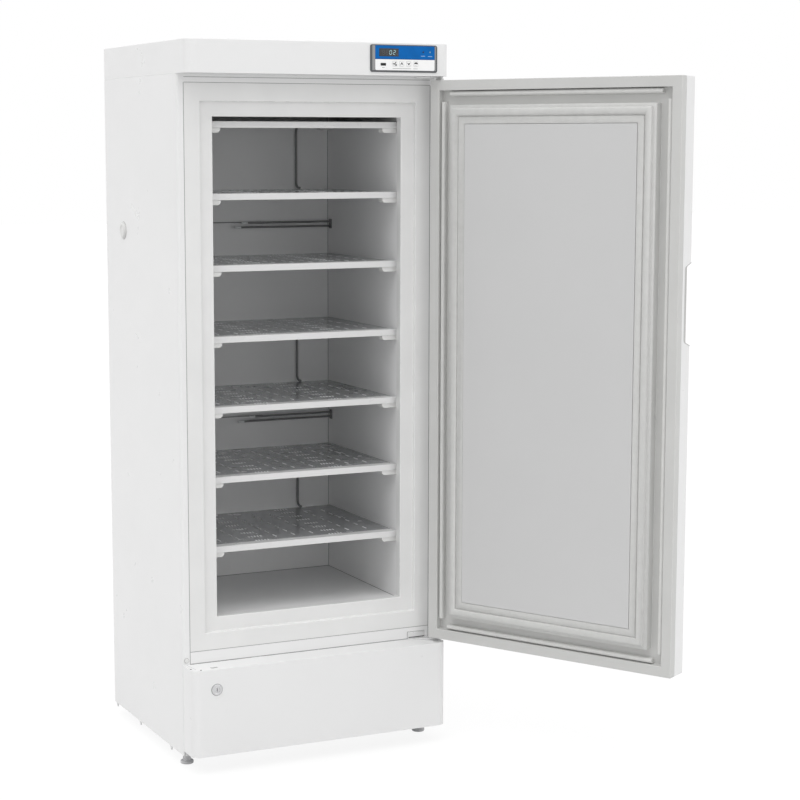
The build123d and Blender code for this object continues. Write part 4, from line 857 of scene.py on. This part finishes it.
def segment_outline(letter, centre):
    """Outline of one bar of a slanted seven-segment digit."""
    across, up, way = segment_shapes[letter]
    u0, v0 = across * digit_width / 2, up * digit_height / 2
    half = (digit_width / 2 if way == "level" else digit_height / 4) - 0.35
    tip = segment_width / 2
    bar = [(-half, 0), (-half + tip, tip), (half - tip, tip)]
    bar += [(half, 0), (half - tip, -tip), (-half + tip, -tip)]
    if way == "upright":
        bar = [(v, u) for u, v in bar]
    return [(centre[0] + u0 + u + 0.1 * (v0 + v), centre[1] + v0 + v) for u, v in bar]


digits = ((-14.0, ""), (-5.0, ""), (4.4, "abcdef"), (13.6, "abged"))
display_centre = (167.7, 1645.0)


def draw_digits(lit):
    def draw(shape):
        for shift, letters in digits:
            for letter in segment_shapes:
                if (letter in letters) == lit:
                    outline = segment_outline(letter, (display_centre[0] + shift, display_centre[1]))
                    plated(shape, outline, face_y - print_depth, face_y)
        if not lit:
            for shift in (-12.6, -3.8, 5.6):
                dot = oblong(1.0, 1.0, (display_centre[0] + shift, display_centre[1] - 5.2), 0.45)
                plated(shape, dot, face_y - print_depth, face_y)
            ring = (display_centre[0] + 18.6, display_centre[1] - 3.0)
            plated(shape, oblong(2.2, 2.2, ring, 1.0), face_y - print_depth, face_y)
            plated(shape, oblong(1.4, 4.4, (ring[0] + 3.0, ring[1] - 1.2), 0.5), face_y - print_depth, face_y)
    return draw


drawn("digits_lit", draw_digits(True), "display_window", "cabinet", finish="digit_lit")
drawn("digits_unlit", draw_digits(False), "display_window", "cabinet", finish="digit_dim")

key_z = 1619.7
key_face = -67.8


def thick_line(shape, points, width, low, high):
    """Adds a line of straight strokes, each a thin plate in the face's plane."""
    for (u0, v0), (u1, v1) in zip(points, points[1:]):
        length = math.dist((u0, v0), (u1, v1))
        du, dv = (u1 - u0) / length * width / 2, (v1 - v0) / length * width / 2
        stroke = [(u0 - du - dv, v0 - dv + du), (u1 + du - dv, v1 + dv + du)]
        stroke += [(u1 + du + dv, v1 + dv - du), (u0 - du + dv, v0 - dv - du)]
        plated(shape, stroke, low, high)


def draw_set_sign(shape):
    x = 182.4
    tick = [(x - 4.2, key_z + 0.9), (x - 2.0, key_z - 1.4), (x + 2.4, key_z + 3.4)]
    thick_line(shape, tick, 1.9, key_face - print_depth, key_face)
    plated(shape, oblong(3.6, 3.0, (x + 2.6, key_z - 3.0), 0.4), key_face - print_depth, key_face)
    low, high = key_z - 1.6, key_z - 0.4
    shackle = [(x + 1.6, low), (x + 1.6, high), (x + 3.6, high), (x + 3.6, low)]
    thick_line(shape, shackle, 0.6, key_face - print_depth, key_face)


def draw_up_sign(shape):
    x = 200.0
    chevron = [(x - 2.3, key_z - 1.2), (x, key_z + 2.2), (x + 2.3, key_z - 1.2)]
    thick_line(shape, chevron, 1.9, key_face - print_depth, key_face)


def draw_down_sign(shape):
    x = 217.8
    chevron = [(x - 2.3, key_z + 1.2), (x, key_z - 1.4), (x + 2.3, key_z + 1.2)]
    thick_line(shape, chevron, 2.1, key_face - print_depth, key_face)


def draw_alarm_sign(shape):
    x = 236.3
    turns = [math.pi * k / 12 for k in range(13)]
    dome = [(x + 4.7 * math.cos(turn), key_z + 0.2 + 3.6 * math.sin(turn)) for turn in turns]
    dome += [(x - 2.4, key_z - 0.6), (x, key_z + 0.9), (x + 2.4, key_z - 0.6)]
    plated(shape, dome, key_face - print_depth, key_face)
    plated(shape, oblong(1.5, 1.5, (x, key_z - 2.6), 0.7), key_face - print_depth, key_face)


for key, draw_sign in (
    ("set", draw_set_sign), ("up", draw_up_sign), ("down", draw_down_sign), ("alarm", draw_alarm_sign)
):
    drawn(f"sign_{key}", draw_sign, "key_film", f"{key}_key", finish="printed_black")


def draw_key_outlines(shape):
    """Thin grey outline printed on the film round each key."""
    for x in (182.4, 200.0, 217.8, 236.3):
        outer, inner = oblong(13.0, 13.0, (x, key_z), 2.6), oblong(12.2, 12.2, (x, key_z), 2.2)
        rings = [[shape.verts.new((u, face_y - level, v)) for u, v in ring] for ring, level in (
            (outer, 0), (outer, 0.05), (inner, 0.05), (inner, 0)
        )]
        for near, far in zip(rings, rings[1:]):
            for k in range(len(outer)):
                after = (k + 1) % len(outer)
                shape.faces.new((near[k], near[after], far[after], far[k]))


def draw_grey_lines(shape):
    lines = ((176.7, 223.9, 1608.8, 1.0), (229.6, 241.0, 1608.8, 1.0), (150.0, 156.4, 1610.8, 0.9))
    for u0, u1, v, width in lines:
        plated(shape, oblong(u1 - u0, width, ((u0 + u1) / 2, v), 0.4), face_y - print_depth, face_y)


def draw_pale_lines(shape):
    for u0, u1, v in ((249.3, 259.9, 1637.9), (267.3, 278.3, 1637.4)):
        plated(shape, oblong(u1 - u0, 1.3, ((u0 + u1) / 2, v), 0.5), face_y - print_depth, face_y)


def draw_lamp(x):
    def draw(shape):
        dome = [(face_y, 1.9), (face_y - 0.5, 1.8), (face_y - 0.9, 1.3), (face_y - 1.1, 0)]
        turned(shape, dome, (x, 1647.0), "Y", 32)
    return draw


drawn("key_outlines", draw_key_outlines, "overlay_film", "cabinet", finish="grille_paint")
drawn("panel_lines", draw_grey_lines, "overlay_film", "cabinet", finish="printed_grey")
drawn("lamp_lines", draw_pale_lines, "overlay_film", "cabinet", finish="printed_pale")
drawn("lamp_left", draw_lamp(255.3), "display_window", "cabinet", finish="lamp_off")
drawn("lamp_right", draw_lamp(272.7), "display_window", "cabinet", finish="lamp_on")


def draw_usb(shape):
    """Black socket with its tongue, in a thin pressed shell."""
    centre = (153.2, 1618.0)
    outer, inner = oblong(13.4, 6.0, centre, 1.0), oblong(11.8, 4.4, centre, 0.5)
    rings = [[shape.verts.new((u, y, v)) for u, v in ring] for ring, y in (
        (outer, face_y), (outer, face_y - 0.25), (inner, face_y - 0.25), (inner, -64.4)
    )]
    shape.faces.new(rings[-1])
    joined(shape, rings)
    plated(shape, oblong(9.6, 1.4, (centre[0], centre[1] + 0.7)), -66.6, -64.4)


drawn("usb_socket", draw_usb, "chrome", "cabinet", "usb_port", finish="printed_black")


def draw_bezel_step_highlight(shape):
    """Paler strips at both sides of the film: painted highlight on the bezel's inner step."""
    for u0, u1 in ((125.5, 132.4), (285.2, 287.6)):
        plated(shape, oblong(u1 - u0, 56.0, ((u0 + u1) / 2, 1632.6), 0.6), face_y - 0.06, face_y)


drawn("bezel_step_highlight", draw_bezel_step_highlight, "module_dark", "cabinet", finish="printed_grey")


# Joints between the cabinet's panels, seen as thin dark lines
def draw_joint_lines(shape):
    depth = 0.06
    for x in (-307.5, 307.5):
        plated(shape, oblong(1.5, 1327.0, (x, 910.0)), -depth, 0.2)
    for z in (275.5, 1574.0):
        plated(shape, oblong(613.5, 1.3, (0, z)), -depth, 0.2)
    plated(shape, oblong(613.5, 1.5, (0, 247.4)), -depth, 0.2)
    plated(shape, oblong(613.5, 1.2, (0, 1586.0)), -depth, 0.2)


drawn("panel_joints", draw_joint_lines, "seal_rubber", "cabinet", finish="joint_shadow")


# Fasteners: low round heads with a driver's recess
def screw_profile(radius, height):
    """Distance and radius pairs of a screw's head, from its seat to the bottom of its recess."""
    return [
        (0, radius), (0.45 * height, radius), (0.85 * height, 0.78 * radius), (height, 0.5 * radius),
        (height, 0.34 * radius), (0.35 * height, 0.28 * radius), (0.35 * height, 0),
    ]


def draw_screws(places, axis, sign, radius, height, seat):
    def draw(shape):
        for place in places:
            profile = [(seat + sign * along, r) for along, r in screw_profile(radius, height)]
            turned(shape, profile, place, axis, 20)
    return draw


rear_places = [(side * 312.0, z) for side in (-1, 1) for z in (262, 600, 930, 1260, 1575)]
rear_places += [(side * 312.0, z) for side in (-1, 1) for z in (40, 138, 236)]
rear_places += [(x, z) for x in (-150, 0, 150) for z in (239, 1582)]
cap_places = [(x, 1650.0) for x in (-290, 0, 290)]
support_places = [(75.7, top - 15.5) for top in plate_tops]
base_places = [(-303.0, -58.0), (-321.0, -40.0)]

for screw_name, screw_look, draw_heads in (
    ("rear_screws", "screw_zinc", draw_screws(rear_places, "Y", 1, 3.6, 1.6, 512.0)),
    ("cap_screws", "screw_zinc", draw_screws(cap_places, "Y", 1, 3.6, 1.6, 512.0)),
    ("support_screws_right", "screw_dark", draw_screws(support_places, "X", -1, 2.4, 1.2, 244.0)),
    ("support_screws_left", "screw_dark", draw_screws(support_places, "X", 1, 2.4, 1.2, -244.0)),
    ("base_panel_screws", "screw_dark", draw_screws(base_places, "Z", 1, 2.0, 0.8, 246.5)),
):
    drawn(screw_name, draw_heads, "hinge_steel", "cabinet", finish=screw_look)


# Details at the cabinet's foot
def draw_tabs(shape):
    """Small folded tabs below the side panels' bottom edges."""
    for x0, x1 in ((-324.6, -323.4), (323.4, 324.6)):
        for y in (92.0, 315.0, 494.0):
            plated(shape, [(y - 9, 30.5), (y + 7, 30.5), (y - 1, 20.5), (y - 6, 21.5)], x0, x1, "X")


def draw_gussets(shape):
    """Triangular stay above each foot, at the base panel's ends."""
    for side in (-1, 1):
        corner = [(side * 324.0, 62.0), (side * 324.0, 28.0), (side * 294.0, 28.0)]
        plated(shape, corner if side > 0 else corner[::-1], 1.0, 2.4)


def draw_gusset_hole_shade(shape):
    # Painted shade: dark discs on the gussets where their holes are
    for side in (-1, 1):
        turned(shape, [(0.95, 3.4), (0.85, 3.3), (0.85, 0)], (side * 315.0, 38.0), "Y", 20)


drawn("bottom_tabs", draw_tabs, "cabinet_paint", "cabinet", finish="grille_paint")
drawn("foot_gussets", draw_gussets, "cabinet_paint", "cabinet", finish="panel_paint")
drawn("gusset_hole_shade", draw_gusset_hole_shade, "cabinet_paint", "cabinet", finish="screw_dark")


def draw_bolt_slot_shade(shape):
    """Painted shade: a thin dark ring at the edge of the opening in the base panel's top that the bolt rises
    through.
    """
    outer, inner = oblong(18.0, 8.0, (-267.0, -48.0), 3.2), oblong(15.6, 5.6, (-267.0, -48.0), 2.0)
    rings = [[shape.verts.new((u, v, z)) for u, v in ring] for ring, z in (
        (outer, 246.45), (outer, 246.56), (inner, 246.56), (inner, 246.45)
    )]
    joined(shape, rings)


def draw_base_fold_shade(shape):
    """Painted shade along the fold of the base panel's top, at its left end, mirrored at its right."""
    thick = [(-317.2, 2.0), (-312.0, -48.0), (-311.2, -47.8), (-316.4, 2.0)]
    plated(shape, thick, 246.45, 246.54, "Z")
    plated(shape, [(-u, v) for u, v in reversed(thick)], 246.45, 246.54, "Z")


def draw_hinge_fold(shape):
    """Shadow in the fold between the bottom hinge's tab and its plate."""
    plated(shape, oblong(42.0, 2.4, (274.5, 250.8), 1.0), -3.12, -3.0)


def draw_hinge_tab_shade(shape):
    """Thin dark line round the bottom hinge's tab, where it meets the rail: painted shade along the joint."""
    plated(shape, oblong(46.6, 1.0, (274.5, 264.1)), -0.1, 0.0)
    plated(shape, oblong(1.0, 17.0, (251.4, 255.2)), -0.1, 0.0)


# Dark finish here as painted shadow in the hinge's fold
drawn("hinge_fold", draw_hinge_fold, "hinge_steel", "cabinet", finish="screw_dark")
drawn("hinge_tab_shade", draw_hinge_tab_shade, "hinge_steel", "cabinet", finish="joint_shadow")
drawn("bolt_slot_shade", draw_bolt_slot_shade, "cabinet_paint", "cabinet", finish="joint_shadow")
drawn("base_fold_shade", draw_base_fold_shade, "cabinet_paint", "cabinet", finish="joint_shadow")


# Machine compartment: the compressor's shell with its weld seam, and the smooth pipes
def draw_compressor(shape):
    centre = (-120.0, 360.0)
    profile = [(49.2, 0), (49.2, 52), (52, 62), (58, 71), (66, 75.2), (118, 75.2)]
    profile += [(119, 78), (122, 78), (123, 75.2), (168, 75.2), (184, 73), (196, 66), (204, 54)]
    profile += [(208, 36), (209, 0)]
    turned(shape, profile, centre, sides=72)
    plated(shape, oblong(154, 154, centre, 10), 46.0, 49.2, "Z")
    for u in (-66, 66):
        for v in (-66, 66):
            mount = [(32.0, 0), (32.0, 11), (35, 11), (37, 9), (40, 9), (42, 11), (46, 11), (46, 0)]
            turned(shape, mount, (centre[0] + u, centre[1] + v), sides=32)
            turned(shape, [(49.2, 6), (53, 6), (53.6, 5), (53.6, 0)], (centre[0] + u, centre[1] + v), sides=6)


def draw_pipes(shape):
    piped(shape, [(-46, 360, 144.5), (-15, 360, 144.5), (-15, 300, 144.5), (6, 300, 144.5)], 3.0, 14.0)
    liquid = [(-15, 250, 246.5), (-15, 250, 69.5), (-15, 300, 69.5), (6, 300, 69.5)]
    piped(shape, liquid, 3.0, 14.0)
    piped(shape, [(-120, 242, 246.5), (-120, 242, 144.5), (-120, 286, 144.5)], 3.0, 14.0)
    drier = [(109.5, 0), (109.5, 3.2), (118, 9.0), (120, 9.5)]
    drier += [(209, 9.5), (211, 9.0), (219.5, 3.2), (219.5, 0)]
    turned(shape, drier, (-15, 250), sides=40)


drawn("compressor_shell", draw_compressor, "compressor_paint", "cabinet", "compressor")
drawn("refrigerant_lines", draw_pipes, "copper", "cabinet", "refrigerant_pipes")


# Floor and sky: both read as plain white to the camera, and the floor keeps the object's shadow

def seen_ray(tree):
    """One for a ray from the camera or one that a glossy or clear surface sends on."""
    path = tree.nodes.new("ShaderNodeLightPath")
    value = path.outputs["Is Camera Ray"]
    for ray in ("Is Glossy Ray", "Is Transmission Ray"):
        either = tree.nodes.new("ShaderNodeMath")
        either.operation = "MAXIMUM"
        tree.links.new(value, either.inputs[0])
        tree.links.new(path.outputs[ray], either.inputs[1])
        value = either.outputs[0]
    return value


def stage_floor():
    half = 30.0
    mesh = bpy.data.meshes.new("floor")
    corners = [(-half, -half, 0), (half, -half, 0), (half, half, 0), (-half, half, 0)]
    mesh.from_pydata(corners, [], [(0, 1, 2, 3)])
    floor = bpy.data.objects.new("floor", mesh)
    bpy.context.scene.collection.objects.link(floor)
    material, tree, shader = new_surface("floor_white", (floor_white,) * 3, 0.9)
    glow = tree.nodes.new("ShaderNodeEmission")
    glow.inputs["Strength"].default_value = floor_glow
    blend = tree.nodes.new("ShaderNodeMixShader")
    share = tree.nodes.new("ShaderNodeMapRange")
    share.inputs["To Max"].default_value = floor_glow_share
    tree.links.new(seen_ray(tree), share.inputs["Value"])
    tree.links.new(share.outputs[0], blend.inputs[0])
    tree.links.new(shader.outputs[0], blend.inputs[1])
    tree.links.new(glow.outputs[0], blend.inputs[2])
    tree.links.new(blend.outputs[0], tree.nodes["Material Output"].inputs["Surface"])
    mesh.materials.append(material)


def white_sky():
    world = bpy.data.worlds.new("studio")
    bpy.context.scene.world = world
    world.use_nodes = True
    tree = world.node_tree
    lit = tree.nodes["Background"]
    lit.inputs["Color"].default_value = (1, 1, 1, 1)
    lit.inputs["Strength"].default_value = sky_strength
    seen = tree.nodes.new("ShaderNodeBackground")
    seen.inputs["Color"].default_value = (1, 1, 1, 1)
    blend = tree.nodes.new("ShaderNodeMixShader")
    tree.links.new(seen_ray(tree), blend.inputs[0])
    tree.links.new(lit.outputs[0], blend.inputs[1])
    tree.links.new(seen.outputs[0], blend.inputs[2])
    tree.links.new(blend.outputs[0], tree.nodes["World Output"].inputs["Surface"])


def soft_sun(name, strength, turn):
    data = bpy.data.lights.new(name, "SUN")
    data.energy = strength
    data.angle = sun_angle
    sun = bpy.data.objects.new(name, data)
    sun.rotation_euler = turn
    bpy.context.scene.collection.objects.link(sun)


def studio_camera():
    data = bpy.data.cameras.new("photo_camera")
    data.lens = camera_lens
    data.shift_x, data.shift_y = camera_shift
    camera = bpy.data.objects.new("photo_camera", data)
    camera.location = camera_place
    camera.rotation_euler = (math.pi / 2 + camera_pitch, 0, camera_yaw)
    bpy.context.scene.collection.objects.link(camera)
    bpy.context.scene.camera = camera


stage_floor()
white_sky()
for sun_name, sun_strength, sun_turn in suns:
    soft_sun(sun_name, sun_strength, sun_turn)
studio_camera()
bpy.context.scene.view_settings.view_transform = "Standard"
